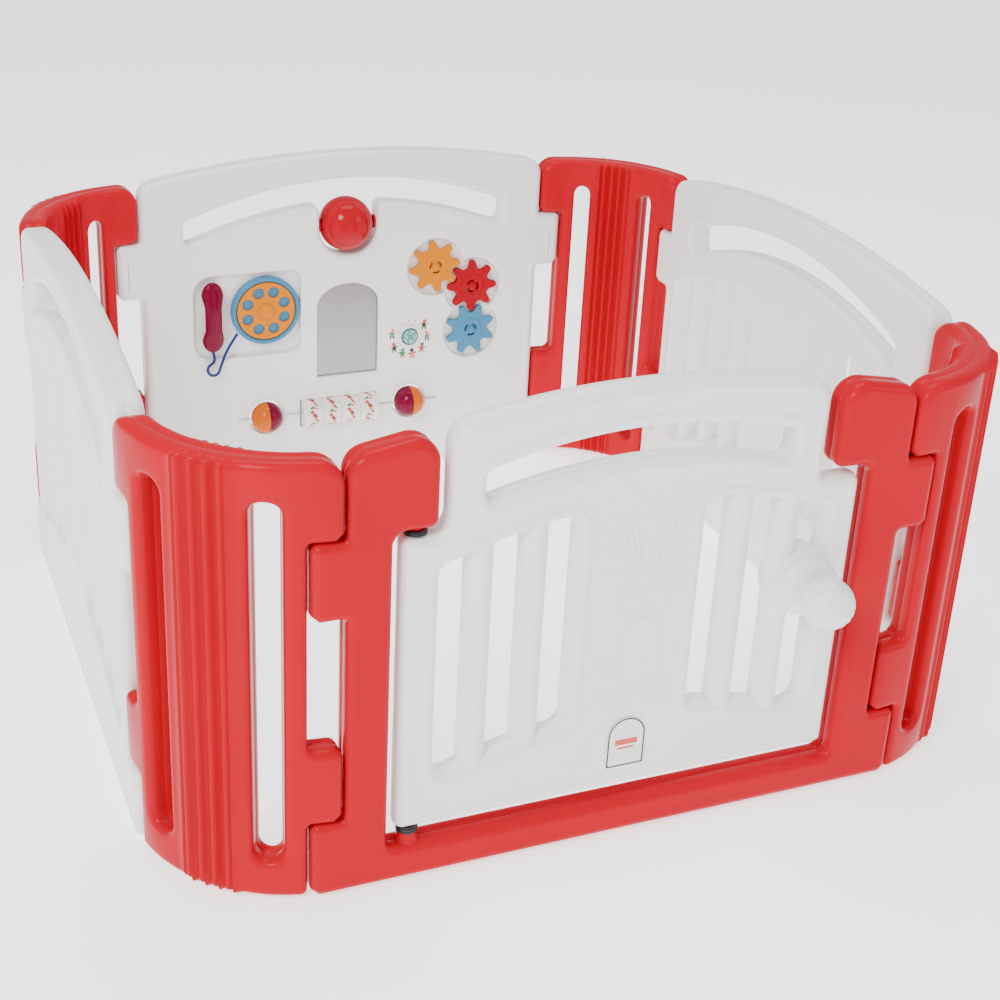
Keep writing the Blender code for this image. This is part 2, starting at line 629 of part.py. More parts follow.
def spinners():
    """Two-coloured balls and four picture drums on one bright rod along the wall."""
    z = ROLLER_AT[1]
    add("toy_rod", rod_mesh("toy_rod", ROD_R, ROD_R, (-0.2145, 0, 0), (0.1805, 0, 0), 10),
        "bright_rod", (0, FACE_Y, z))
    bore = ROD_R + TOUCH
    for x, side, slots in ((SPINNER_X[0], "left", ("orange_plastic", "magenta_plastic")),
                           (SPINNER_X[1], "right", ("magenta_plastic", "orange_plastic"))):
        for half, slot in zip((-1, 1), slots):
            cap = arc_points(0, 0, SPINNER_R, 85, 0, 5)
            profile = [(bore, SPINNER_R)] + cap[:-1] + [(SPINNER_R, TOUCH / 2), (bore, TOUCH / 2)]
            profile = [(max(r, bore), max(h, TOUCH / 2)) for r, h in profile]
            colour = slot.split("_")[0]
            turned(f"spinner_{side}_{colour}", slot, profile, (x, FACE_Y, z), (half, 0, 0), 16)
    for k in range(4):
        middle = ROLLER_AT[0] + (k - 1.5) * ROLLER_W
        half = ROLLER_W / 2 - TOUCH
        turned(f"picture_roller_{k + 1}", "ivory_plastic",
               [(bore, half), (ROLLER_R - 0.003, half), (ROLLER_R, half - 0.003),
                (ROLLER_R, -half + 0.003), (ROLLER_R - 0.003, -half), (bore, -half)],
               (middle, FACE_Y, z), (1, 0, 0), 16)


def telephone():
    """Toy telephone: base ring, dial with eight finger holes, its cap, and a handset."""
    floor = FACE_Y + RECESS
    x, z = DIAL_AT
    turned("phone_base", "blue_plastic",
           [(0, 0.008), (0.0555, 0.008), (0.0575, 0.015), (0.0625, 0.015), (0.0645, 0.012),
            (0.0645, TOUCH), (0, TOUCH)], (x, floor, z), (0, -1, 0), 40, closed=False)
    holes = [ellipse(0.0370 * math.cos(a), 0.0370 * math.sin(a), 0.0103, 0.0103, 10)
             for a in (math.tau * k / 8 for k in range(8))]
    dial = [ellipse(0, 0, 0.0545, 0.0545, 36), *holes, ellipse(0, 0, 0.0045, 0.0045, 12)]
    add("phone_dial", plate_mesh("phone_dial", dial, 0.005), "yellow_plastic",
        (x, floor - 0.008 - TOUCH - 0.0025, z))
    dome = arc_points(0, 0.0140, 0.0150, 90, 0, 4)
    turned("dial_cap", "yellow_plastic",
           [(r if r > 1e-6 else 0, 0.0140 + (h - 0.0140) * 0.4) for r, h in dome]
           + [(0.0150, 0.0136), (0.0042, 0.0136), (0.0042, 0.0086), (0, 0.0086)],
           (x, floor, z), (0, -1, 0), 24, closed=False)
    hx, hz = HANDSET_AT
    side = rounded([(-0.066, -0.012, 0.008), (-0.034, -0.012, 0.006), (-0.026, -0.001, 0.008),
                    (0.026, -0.001, 0.008), (0.034, -0.012, 0.006), (0.066, -0.012, 0.008),
                    (0.067, 0.010, 0.012), (0.036, 0.018, 0), (0, 0.020, 0), (-0.036, 0.018, 0),
                    (-0.067, 0.010, 0.012)], 2)
    mesh = plate_mesh("handset", [side], 0.044, 0.008)
    # stand the side view upright and face its cups into the recess
    mesh.transform(Matrix(((0, -1, 0, 0), (0, 0, -1, 0), (1, 0, 0, 0), (0, 0, 0, 1))))
    add("handset", mesh, "magenta_plastic", (hx, floor - 0.0125, hz))


def music_unit():
    """Round sound unit with a press button."""
    x, z = MUSIC_AT
    turned("music_ring", "white_plastic",
           [(0.0168, 0.003), (0.0215, 0.003), (0.0230, 0.0015), (0.0230, TOUCH), (0.0168, TOUCH)],
           (x, FACE_Y, z), (0, -1, 0), 28)
    turned("music_button", "blue_plastic",
           [(0, 0.0060), (0.0120, 0.0052), (0.0150, 0.0030), (0.0150, -0.0040), (0, -0.0040)],
           (x, FACE_Y, z), (0, -1, 0), 24, closed=False)


def mirror():
    mesh = plate_mesh("mirror", [mirror_outline(0)], 0.003, 0.0006)
    add("mirror", mesh, "mirror_film", (0, FACE_Y + RECESS - 0.0015 - TOUCH, 0))


# route of the handset's cord, from the dial's rim to the handset's lower end: (x, out, z)
CORD_R = 0.0027
CORD_ROUTE = [(-0.2121, -0.0030, 0.3150), (-0.2205, 0.0010, 0.3055), (-0.2305, 0.0050, 0.2930),
              (-0.2385, 0.0080, 0.2800), (-0.2436, 0.0092, 0.2680), (-0.2476, 0.0095, 0.2580),
              (-0.2506, 0.0095, 0.2493), (-0.2538, 0.0095, 0.2451), (-0.2586, 0.0092, 0.2429),
              (-0.2639, 0.0090, 0.2432), (-0.2683, 0.0088, 0.2461), (-0.2709, 0.0085, 0.2507),
              (-0.2710, 0.0080, 0.2560), (-0.2686, 0.0071, 0.2607), (-0.2642, 0.0062, 0.2636),
              (-0.2605, 0.0055, 0.2659), (-0.2580, 0.0046, 0.2695), (-0.2571, 0.0028, 0.2738),
              (-0.2574, 0.0005, 0.2790), (-0.2585, -0.0010, 0.2845)]


def smooth_route(points, spacing):
    """Points at an even spacing on a smooth curve through the route."""
    points = [Vector(p) for p in points]
    fine = []
    for i in range(len(points) - 1):
        a, b = points[max(i - 1, 0)], points[i]
        c, d = points[i + 1], points[min(i + 2, len(points) - 1)]
        for k in range(12):
            t = k / 12
            fine.append(0.5 * (2 * b + (c - a) * t + (2 * a - 5 * b + 4 * c - d) * t * t
                               + (3 * b - a - 3 * c + d) * t ** 3))
    fine.append(points[-1])
    kept, walked = [fine[0]], 0.0
    for a, b in zip(fine, fine[1:]):
        walked += (b - a).length
        if walked >= spacing:
            kept.append(b)
            walked = 0.0
    kept[-1] = fine[-1]
    return kept


def handset_cord():
    curve = bpy.data.curves.new("handset_cord", "CURVE")
    curve.dimensions = "3D"
    curve.bevel_depth = CORD_R
    curve.bevel_resolution = 2
    curve.use_fill_caps = True
    route = smooth_route([(x, FACE_Y - out, z) for x, out, z in CORD_ROUTE], 0.0065)
    spline = curve.splines.new("POLY")
    spline.points.add(len(route) - 1)
    for point, place in zip(spline.points, route):
        point.co = (*place, 1)
    add("handset_cord", curve, "navy_cord")


# ---------------------------------------------------------------- build
for old in list(bpy.data.objects):
    bpy.data.objects.remove(old, do_unlink=True)

parts = bpy.data.collections.new("playpen")
cutters = bpy.data.collections.new("cutters")
bpy.context.scene.collection.children.link(parts)
bpy.context.scene.collection.children.link(cutters)

gate_frame()
hinge_bushes()
gate_door()
latch()
door_label()
fence("fence_left", -HALF_PEN, -math.pi / 2)
fence("fence_right", HALF_PEN, math.pi / 2)
toy_wall()
corners()
foot_pads()
gears()
ball()
spinners()
telephone()
music_unit()
mirror()
handset_cord()
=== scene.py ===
# %% [markdown]
# # A child's playpen of moulded plastic panels
# The real pen is blow moulded: hot plastic is blown against a cold mould.  Every panel is a hollow
# shell with generous round edges, a thin parting line half way through its thickness, and faint
# steps where the mould changes level.  The frame below holds every piece's place, and this lesson
# gives each piece the skin that a moulding machine would.

# %% Load the frame and keep its box
import math

import bmesh
import bpy
from mathutils import Matrix, Vector


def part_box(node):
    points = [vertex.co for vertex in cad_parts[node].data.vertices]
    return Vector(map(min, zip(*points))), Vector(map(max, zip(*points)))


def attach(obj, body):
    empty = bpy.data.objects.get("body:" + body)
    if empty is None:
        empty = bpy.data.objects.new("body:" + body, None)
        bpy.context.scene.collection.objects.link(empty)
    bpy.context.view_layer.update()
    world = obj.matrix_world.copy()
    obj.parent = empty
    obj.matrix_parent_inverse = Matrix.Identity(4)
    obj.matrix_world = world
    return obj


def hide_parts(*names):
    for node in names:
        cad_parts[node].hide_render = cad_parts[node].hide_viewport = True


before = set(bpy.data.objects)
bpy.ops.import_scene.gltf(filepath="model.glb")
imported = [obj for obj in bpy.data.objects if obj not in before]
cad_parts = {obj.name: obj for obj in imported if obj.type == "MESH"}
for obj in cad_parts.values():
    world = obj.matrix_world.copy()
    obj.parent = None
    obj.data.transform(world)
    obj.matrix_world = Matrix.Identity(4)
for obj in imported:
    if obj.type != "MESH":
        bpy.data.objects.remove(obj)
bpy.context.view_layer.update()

# %% [markdown]
# The sizes come from the frame's own boxes wherever a box holds them: the thickness of a panel, the
# pen's centre and the height of the floor gap.  The layout inside a panel is named here once.

# %% Sizes read from the frame, and the panels' layout
fence_low, fence_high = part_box("fence_left")
gate_low, gate_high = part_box("gate_frame")
toys_low, toys_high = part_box("toy_wall")
door_low, door_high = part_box("gate_door")

WALL = fence_high.x - fence_low.x
HALF = WALL / 2
BASE = fence_low.z
CREST = fence_high.z
TAB_END = (fence_high.y - fence_low.y) / 2
PEN_Y = (fence_high.y + fence_low.y) / 2
SIDE_X = -(fence_high.x + fence_low.x) / 2
GATE_Y = (gate_low.y + gate_high.y) / 2
TOYS_Y = (toys_low.y + toys_high.y) / 2
FACE_Y = TOYS_Y - HALF

SPAN = 0.382              # middle of a flat side to its seam with a corner
SHOULDER = 0.600          # height of the panels at the seams
LOW_TAB_TOP = 0.110
HIGH_TAB_LOW, HIGH_TAB_TOP = 0.395, 0.498
CHAMFER = 0.010           # cut under every tab's outer end

SLOT_FALL = 0.67          # slots and bar groups follow z = crown - fall * x * x
SLOT_TOP, SLOT_LOW, SLOT_END = 0.592, 0.547, 0.305
GROUP_TOP, GROUP_LOW = 0.4895, 0.190
GROUP_START, GAP_W, BAR_W = 0.089, 0.034, 0.037
GROUP_R = 0.016

EDGE_R = 0.012            # rounding of a panel's outer edge
RIM_R = 0.010             # rounding of the handle slot's rim
LIP_W = 0.013             # width of the half-round lip round a group of bars
BORDER = 0.0170           # flat border beside an edge, up to the mould's step
STEP = 0.0012             # height of that step
STEP_SLOPE, STEP_END = 0.0020, 0.0030   # where its slope and the flat after it end
FLAT_W = 0.0015           # narrow flat beside an edge that has no border
MERGE = 0.000001          # points closer than this are one
PARTING = 0.0004          # parting line, half way through the thickness
print("wall", round(WALL, 4), "tab end", round(TAB_END, 4), "pen y", round(PEN_Y, 4))

# %% [markdown]
# The camera stands in front of the left corner and looks down into the pen.  It is made before any
# surface is, so that every later choice can be judged from its place.

# %% Camera
CAMERA_AT = Vector((-0.896, -2.121, 1.355))
CAMERA_LOOK = Vector((0.3391, 0.8490, -0.4054))
CAMERA_ROLL = math.radians(2.03)
camera_data = bpy.data.cameras.new("camera")
camera_data.sensor_width = 36.0
camera_data.lens = 58.3
camera_data.shift_x, camera_data.shift_y = 0.062, -0.063
camera = bpy.data.objects.new("camera", camera_data)
bpy.context.scene.collection.objects.link(camera)
camera.location = CAMERA_AT
level = CAMERA_LOOK.to_track_quat("-Z", "Y").to_matrix()
camera.rotation_euler = (level @ Matrix.Rotation(CAMERA_ROLL, 3, "Z")).to_euler()
bpy.context.scene.camera = camera
print("camera", tuple(round(v, 3) for v in camera.location), "lens", camera_data.lens)

# %% [markdown]
# ## Finishes
# Moulded polyethylene is one colour all through, but it is never perfectly even: the pigment
# drifts a little, and the mould leaves a fine orange peel that breaks up the gloss.  Three noises
# do this: a wide one for colour, a middling one for gloss and a fine one for the peel.  They read
# Object coordinates, so they don't depend on how a piece is unwrapped.


# %% A moulded plastic
def moulded(name, colour, roughness, drift=0.04, peel=0.04, peel_scale=420.0, metallic=0.0,
            coat=0.0, shine=0.5):
    """Plastic of one colour with drifting pigment, uneven gloss and orange peel."""
    made = bpy.data.materials.new(name)
    made.use_nodes = True
    nodes, links = made.node_tree.nodes, made.node_tree.links
    shader = nodes["Principled BSDF"]
    shader.inputs["Metallic"].default_value = metallic
    shader.inputs["Coat Weight"].default_value = coat
    shader.inputs["Specular IOR Level"].default_value = shine
    shader.inputs["Coat Roughness"].default_value = 0.08
    place = nodes.new("ShaderNodeTexCoord")

    def noise(scale, detail):
        node = nodes.new("ShaderNodeTexNoise")
        node.inputs["Scale"].default_value = scale
        node.inputs["Detail"].default_value = detail
        links.new(place.outputs["Object"], node.inputs["Vector"])
        return node

    pigment = noise(5.0, 3.0)
    ramp = nodes.new("ShaderNodeValToRGB")
    ramp.color_ramp.elements[0].position = 0.3
    ramp.color_ramp.elements[1].position = 0.7
    ramp.color_ramp.elements[0].color = (*[c * (1 - drift) for c in colour], 1)
    ramp.color_ramp.elements[1].color = (*[min(c * (1 + drift), 1) for c in colour], 1)
    links.new(pigment.outputs["Fac"], ramp.inputs["Fac"])
    links.new(ramp.outputs["Color"], shader.inputs["Base Color"])

    gloss = noise(28.0, 4.0)
    spread = nodes.new("ShaderNodeMapRange")
    spread.inputs["To Min"].default_value = roughness * 0.8
    spread.inputs["To Max"].default_value = min(roughness * 1.2, 1)
    links.new(gloss.outputs["Fac"], spread.inputs["Value"])
    links.new(spread.outputs["Result"], shader.inputs["Roughness"])

    skin = noise(peel_scale, 2.0)
    bump = nodes.new("ShaderNodeBump")
    bump.inputs["Strength"].default_value = peel
    bump.inputs["Distance"].default_value = 0.001
    links.new(skin.outputs["Fac"], bump.inputs["Height"])
    links.new(bump.outputs["Normal"], shader.inputs["Normal"])
    print("finish", name)
    return made


# %% [markdown]
# Each finish below is one call of that recipe.  Bright colours get little reflected light from the
# surface, because a white studio mirrored in a red panel turns it pink.

# %% The finishes of this pen
RED = moulded("red_polyethylene", (0.47, 0.0002, 0.012), 0.20, shine=0.06)
WHITE = moulded("white_polyethylene", (0.87, 0.865, 0.855), 0.30, drift=0.012)
NYLON = moulded("black_nylon_grain", (0.012, 0.012, 0.013), 0.40)
PAD = moulded("cream_rubber_grain", (0.72, 0.66, 0.52), 0.80, peel=0.3, peel_scale=900.0)
YELLOW = moulded("yellow_gloss", (0.66, 0.20, 0.0005), 0.24, shine=0.08)
BLUE = moulded("sky_blue_gloss", (0.045, 0.21, 0.37), 0.28, shine=0.2)
GEAR_RED = moulded("signal_red_gloss", (0.36, 0.0004, 0.010), 0.24, shine=0.08)
BALL_RED = moulded("ball_red_gloss", (0.42, 0.0003, 0.010), 0.08, coat=0.08, shine=0.10)
MAGENTA = moulded("magenta_gloss", (0.15, 0.0006, 0.022), 0.12, coat=0.06, shine=0.12)
ORANGE = moulded("orange_gloss", (0.58, 0.12, 0.0005), 0.12, coat=0.06, shine=0.10)
IVORY = moulded("ivory_gloss", (0.84, 0.82, 0.78), 0.25)
STEEL = moulded("bright_rod_steel", (0.62, 0.62, 0.64), 0.16, peel=0.02, metallic=1.0)
SILVER = moulded("silvered_film", (0.30, 0.31, 0.33), 0.22, drift=0.02, peel=0.10, peel_scale=14.0,
                 metallic=0.85)
INK = moulded("dark_ink", (0.020, 0.022, 0.028), 0.45)
LEAF = moulded("green_ink", (0.020, 0.20, 0.060), 0.45)
TEAL = moulded("teal_ink", (0.030, 0.30, 0.26), 0.45)
PAINT_RED = moulded("red_ink", (0.65, 0.060, 0.025), 0.45)
PAINT_ORANGE = moulded("orange_ink", (0.80, 0.25, 0.050), 0.45)
FILM = moulded("label_film", (0.83, 0.83, 0.82), 0.35)

# %% [markdown]
# ## Tools for outlines
# A panel is drawn as corners with radii, as on a mould maker's drawing.  Walking along an outline,
# the plastic is always on the left hand, so one number, the inset, moves any outline into the
# plastic, whether it is the panel's edge or the edge of a hole.


# %% Rounded outline, moved into the plastic
def outline(corners, inset=0.0, steps=6):
    """Points of a closed outline given as (x, z, radius) corners, moved to the left by inset."""
    made = []
    for i, (x, z, radius) in enumerate(corners):
        here = Vector((x, z))
        before = (here - Vector(corners[i - 1][:2])).normalized()
        after = (Vector(corners[(i + 1) % len(corners)][:2]) - here).normalized()
        left_before, left_after = Vector((-before.y, before.x)), Vector((-after.y, after.x))
        corner = here + (left_before + left_after) * inset / (1 + left_before.dot(left_after))
        if radius == 0:
            made.append(corner)
            continue
        turns_left = before.x * after.y - before.y * after.x > 0
        turned = max(radius - inset if turns_left else radius + inset, 0)
        half_angle = (math.pi - before.angle(after)) / 2
        centre = corner + (after - before).normalized() * turned / math.sin(half_angle)
        start = corner - before * turned / math.tan(half_angle) - centre
        end = corner + after * turned / math.tan(half_angle) - centre
        sweep = start.angle_signed(end) if turned > 1e-6 else 0
        for k in range(steps + 1):
            made.append(centre + Matrix.Rotation(-sweep * k / steps, 2) @ start)
    return made


def circle(x, z, radius, count=48):
    """Round outline as corners without radius, travelled so that its inside is on the left."""
    turns = [math.tau * k / count for k in range(count)]
    return [(x + radius * math.cos(t), z + radius * math.sin(t), 0) for t in turns]


def hole(corners):
    """The same outline travelled the other way, so that the plastic is outside."""
    return corners[::-1]


print("a circle of", len(outline(circle(0, 0, EDGE_R))), "points")

# %% [markdown]
# ## Tools for surfaces
# A ring of edges is extruded again and again along the outline's insets: the rings climb from the
# parting line round the edge, over the border and down the mould's step.  The flat that is left is
# filled by an operator that knows about holes, and a mirror makes the other face.  Because each
# ring is worked out from the drawing, a small radius never folds over itself as an inset would.


# %% Rings that follow an outline
def profile_points(width, height, steps=6):
    """Quarter of an ellipse from the outline up to the face: (inset, depth)."""
    turns = [math.pi / 2 * k / steps for k in range(steps + 1)]
    return [(width * (1 - math.cos(t)), height * math.sin(t)) for t in turns]


def edge_profile(half, radius, border=True):
    """From the parting line over a round edge to the face, and down the mould's step."""
    rings = [(PARTING, 0.0), (0.0, PARTING * 2)]
    rings += [(inset, half - radius + rise) for inset, rise in profile_points(radius, radius)]
    return rings + face_profile(half, radius, border)


def lip_profile(half, width):
    """Half-round lip that starts at the middle of the thickness."""
    return profile_points(width, half, 8) + face_profile(half, width, True)


def face_profile(half, radius, border):
    """What follows a rounded edge: a narrow flat, or the border and its step."""
    if not border:
        return [(radius + FLAT_W, half)]
    low = half - STEP
    return [(BORDER, half), (BORDER + STEP_SLOPE, low), (BORDER + STEP_END, low)]


def ring(bm, points, y):
    """Closed ring of edges through (x, z) points."""
    verts = [bm.verts.new((p[0], y, p[1])) for p in points]
    for a, b in zip(verts, verts[1:] + verts[:1]):
        bm.edges.new((a, b))
    return verts


def next_ring(bm, verts, points, y):
    """Extrude a ring of edges and move each new vertex to its place."""
    edges = [bm.edges.get((a, b)) for a, b in zip(verts, verts[1:] + verts[:1])]
    made = bmesh.ops.extrude_edge_only(bm, edges=edges)["geom"]
    fresh = {item for item in made if isinstance(item, bmesh.types.BMVert)}
    moved = []
    for vert, point in zip(verts, points):
        twin = next(e.other_vert(vert) for e in vert.link_edges if e.other_vert(vert) in fresh)
        twin.co = (point[0], y, point[1])
        moved.append(twin)
    return moved


def follow(bm, corners, rings, side=-1, steps=6):
    """Surface along one outline, through every (inset, depth) of the profile."""
    inset, depth = rings[0]
    verts = ring(bm, outline(corners, inset, steps), side * depth)
    for inset, depth in rings[1:]:
        verts = next_ring(bm, verts, outline(corners, inset, steps), side * depth)


def fill_levels(bm, side=-1):
    """Fill the flats that are still open on one side, level by level."""
    bmesh.ops.remove_doubles(bm, verts=bm.verts, dist=MERGE)
    levels = {}
    for edge in bm.edges:
        depth = side * (edge.verts[0].co.y + edge.verts[1].co.y) / 2
        if len(edge.link_faces) == 1 and depth > 1e-5:
            levels.setdefault(round(depth, 5), []).append(edge)
    for edges in levels.values():
        bmesh.ops.triangle_fill(bm, edges=edges, use_beauty=True)


def two_faced(loops, steps=6):
    """Panel with the same face on both sides: rings, fill, then a mirror through the middle."""
    bm = bmesh.new()
    for corners, rings in loops:
        follow(bm, corners, rings, -1, steps)
    fill_levels(bm)
    bmesh.ops.mirror(bm, geom=bm.verts[:] + bm.edges[:] + bm.faces[:], axis="Y", merge_dist=MERGE)
    bmesh.ops.remove_doubles(bm, verts=bm.verts, dist=MERGE)
    bmesh.ops.recalc_face_normals(bm, faces=bm.faces)
    return bm


print("edge profile", len(edge_profile(HALF, EDGE_R)), "rings")

# %% [markdown]
# Round things are made three ways: a rod is a cone between two points, a lathe part is a profile
# spun round its axis, and a raised line is a curve with a round section, made a mesh.

# %% Rods, turned shapes and raised lines
ROD_SIDES = 32


def add_rod(bm, start, end, radius, end_radius=None, flatten=1.0):
    """Round or oval rod between two points, added to a mesh in the making."""
    start, end = Vector(start), Vector(end)
    along = end - start
    lean = Vector((0, 0, 1)).rotation_difference(along).to_matrix().to_4x4()
    squeeze = Matrix.Diagonal((1, flatten, 1, 1))
    place = Matrix.Translation((start + end) / 2) @ lean @ squeeze
    bmesh.ops.create_cone(bm, cap_ends=True, segments=ROD_SIDES, radius1=radius,
                          radius2=radius if end_radius is None else end_radius,
                          depth=along.length, matrix=place)


def turned(profile, at, axis, steps=48):
    """Shape turned on a lathe: (radius, height) points spun round the axis through a point."""
    bm = bmesh.new()
    verts = [bm.verts.new((r, 0, h)) for r, h in profile]
    edges = [bm.edges.new(pair) for pair in zip(verts, verts[1:])]
    if profile[0][0] > 0 and profile[-1][0] > 0:
        edges.append(bm.edges.new((verts[-1], verts[0])))
    bmesh.ops.spin(bm, geom=verts + edges, angle=math.tau, steps=steps, axis=(0, 0, 1),
                   cent=(0, 0, 0), use_merge=True)
    bmesh.ops.remove_doubles(bm, verts=bm.verts, dist=MERGE)
    bmesh.ops.recalc_face_normals(bm, faces=bm.faces)
    lean = Vector((0, 0, 1)).rotation_difference(Vector(axis)).to_matrix().to_4x4()
    bmesh.ops.transform(bm, verts=bm.verts, matrix=Matrix.Translation(at) @ lean)
    return bm


def arc(x, z, radius, start, end, steps):
    """(x, z) points of an arc, angles in degrees."""
    turns = [math.radians(start + (end - start) * k / steps) for k in range(steps + 1)]
    return [(x + radius * math.cos(t), z + radius * math.sin(t)) for t in turns]


def tube(points, radius, closed=False, resolution=2):
    """Mesh of a round tube along points."""
    curve = bpy.data.curves.new("tube", "CURVE")
    curve.dimensions = "3D"
    curve.bevel_depth = radius
    curve.bevel_resolution = resolution
    curve.use_fill_caps = not closed
    spline = curve.splines.new("POLY")
    spline.points.add(len(points) - 1)
    for point, place in zip(spline.points, points):
        point.co = (*place, 1)
    spline.use_cyclic_u = closed
    carrier = bpy.data.objects.new("tube", curve)
    mesh = bpy.data.meshes.new_from_object(carrier)
    bpy.data.objects.remove(carrier)
    return mesh


def add_mesh(bm, mesh):
    bm.from_mesh(mesh)
    bpy.data.meshes.remove(mesh)


def add_shape(bm, other):
    """Move one mesh in the making into another."""
    mesh = bpy.data.meshes.new("shape")
    other.to_mesh(mesh)
    other.free()
    add_mesh(bm, mesh)


print("rods have", ROD_SIDES, "sides")

# %% [markdown]
# Every piece is finished the same way.  Its faces are shaded smooth except across sharp edges, it
# gets its finishes, and it is handed to the body that it moves with, and the solid it replaces is
# hidden.

# %% Finish a piece and hand it to its body
SHARP = math.radians(50)
made_pieces = []


def piece(name, bm, finishes, body, stands_for=()):
    """Object at the origin with its place in its mesh, riding on a body."""
    finishes = finishes if isinstance(finishes, list) else [finishes]
    mesh = bpy.data.meshes.new(name)
    bm.to_mesh(mesh)
    bm.free()
    mesh.shade_smooth()
    mesh.set_sharp_from_angle(angle=SHARP)
    for finish in finishes:
        mesh.materials.append(finish)
    made = bpy.data.objects.new(name, mesh)
    bpy.context.scene.collection.objects.link(made)
    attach(made, body)
    if stands_for:
        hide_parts(*stands_for)
    made_pieces.append(made)
    print("piece", name, len(mesh.polygons), "faces")
    return made


def put(bm, at=(0, 0, 0), turn=0.0):
    """Turn a mesh in the making about Z and move it to its place."""
    matrix = Matrix.Translation(at) @ Matrix.Rotation(turn, 4, "Z")
    bmesh.ops.transform(bm, verts=bm.verts, matrix=matrix)
    return bm


print("sharp edges from", round(math.degrees(SHARP)), "degrees")

# %% [markdown]
# ## The handset's cord
# A soft navy cord leaves the dial's rim, hangs in a small loop below the recess and goes up into
# the handset.  Its whole length shows, so the route is the cord: listed points, smoothed
# into one curve.  It is a mesh tube with its path stated.

# %% Cord route, the same as the frame's
CORD_R = 0.0027
CORD_ROUTE = [(-0.2121, -0.0030, 0.3150), (-0.2205, 0.0010, 0.3055), (-0.2305, 0.0050, 0.2930),
              (-0.2385, 0.0080, 0.2800), (-0.2436, 0.0092, 0.2680), (-0.2476, 0.0095, 0.2580),
              (-0.2506, 0.0095, 0.2493), (-0.2538, 0.0095, 0.2451), (-0.2586, 0.0092, 0.2429),
              (-0.2639, 0.0090, 0.2432), (-0.2683, 0.0088, 0.2461), (-0.2709, 0.0085, 0.2507),
              (-0.2710, 0.0080, 0.2560), (-0.2686, 0.0071, 0.2607), (-0.2642, 0.0062, 0.2636),
              (-0.2605, 0.0055, 0.2659), (-0.2580, 0.0046, 0.2695), (-0.2571, 0.0028, 0.2738),
              (-0.2574, 0.0005, 0.2790), (-0.2585, -0.0010, 0.2845)]


def smooth_line(points, fine=6):
    """Smooth curve through points."""
    points = [Vector(p) for p in points]
    made = []
    for i in range(len(points) - 1):
        a, b = points[max(i - 1, 0)], points[i]
        c, d = points[i + 1], points[min(i + 2, len(points) - 1)]
        for k in range(fine):
            t = k / fine
            made.append(0.5 * (2 * b + (c - a) * t + (2 * a - 5 * b + 4 * c - d) * t * t
                               + (3 * b - a - 3 * c + d) * t ** 3))
    return made + [points[-1]]


cord_line = smooth_line([(x, FACE_Y - out, z) for x, out, z in CORD_ROUTE])
CORD = moulded("navy_cord_weave", (0.002, 0.022, 0.16), 0.60, drift=0.2, peel=0.8,
               peel_scale=1400.0)
cord_bm = bmesh.new()
add_mesh(cord_bm, tube(cord_line, CORD_R, resolution=4))
bmesh.ops.remove_doubles(cord_bm, verts=cord_bm.verts, dist=MERGE)
cord = piece("receiver_cord", cord_bm, CORD, "pen", ["handset_cord"])

# %% [markdown]
# ## Flat sides
# All four flat sides share their ends: two finger tabs that reach under the corner panels' tabs.
# Their outlines differ only between the ends, so the ends are one function.

# %% Shared ends and arches
ARCH_CLEAR = 0.040        # what an arch leaves free for the rounded corners at its ends


def crown(x, top, fall=SLOT_FALL):
    """Height of an arch at x."""
    return top - fall * x * x


def panel_top(x):
    """Height of a flat side's top edge at x."""
    return crown(x, CREST, (CREST - SHOULDER) / SPAN ** 2)


def tab_corners(side):
    """Finger tabs of one end, from the floor up for side = 1."""
    run = [(TAB_END - CHAMFER, BASE, 0.004), (TAB_END, BASE + CHAMFER, 0.004),
           (TAB_END, LOW_TAB_TOP, 0.012), (SPAN, LOW_TAB_TOP, 0.006), (SPAN, HIGH_TAB_LOW, 0.006),
           (TAB_END - CHAMFER, HIGH_TAB_LOW, 0.004), (TAB_END, HIGH_TAB_LOW + CHAMFER, 0.004),
           (TAB_END, HIGH_TAB_TOP, 0.012), (SPAN, HIGH_TAB_TOP, 0.006), (SPAN, SHOULDER, 0.030)]
    return run if side > 0 else [(-x, z, r) for x, z, r in reversed(run)]


def arch(x0, x1, height, count):
    """Corners without radius along an arched edge, clear of the rounded corners at its ends."""
    clear = ARCH_CLEAR if x1 > x0 else -ARCH_CLEAR
    start, end = x0 + clear, x1 - clear
    places = [start + (end - start) * k / (count - 1) for k in range(count)]
    return [(x, height(x), 0) for x in places]


def band(x0, x1, top, low, radius, count=10):
    """Opening between two parallel arches, inside on the left."""
    corners = [(x0, crown(x0, low), radius)] + arch(x0, x1, lambda x: crown(x, low), count)
    corners += [(x1, crown(x1, low), radius), (x1, crown(x1, top), radius)]
    corners += arch(x1, x0, lambda x: crown(x, top), count)
    return corners + [(x0, crown(x0, top), radius)]


def side_outline():
    """Outline of a whole flat side, from its right end round to its left one."""
    return tab_corners(1) + arch(SPAN, -SPAN, panel_top, 22) + tab_corners(-1)


def group(gaps, side):
    """Outline of one group of gaps, bars included."""
    end = GROUP_START + gaps * GAP_W + (gaps - 1) * BAR_W
    x0, x1 = sorted((side * GROUP_START, side * end))
    return band(x0, x1, GROUP_TOP, GROUP_LOW, GROUP_R)


def add_bars(bm, gaps, side, depth):
    """Round bars that cross a group and end inside its lip."""
    for k in range(gaps - 1):
        x = side * (GROUP_START + GAP_W + BAR_W / 2 + k * (GAP_W + BAR_W))
        add_rod(bm, (x, 0, crown(x, GROUP_LOW) - LIP_W), (x, 0, crown(x, GROUP_TOP) + LIP_W),
                BAR_W / 2, flatten=depth / (BAR_W / 2))


print("side outline", len(side_outline()), "corners")

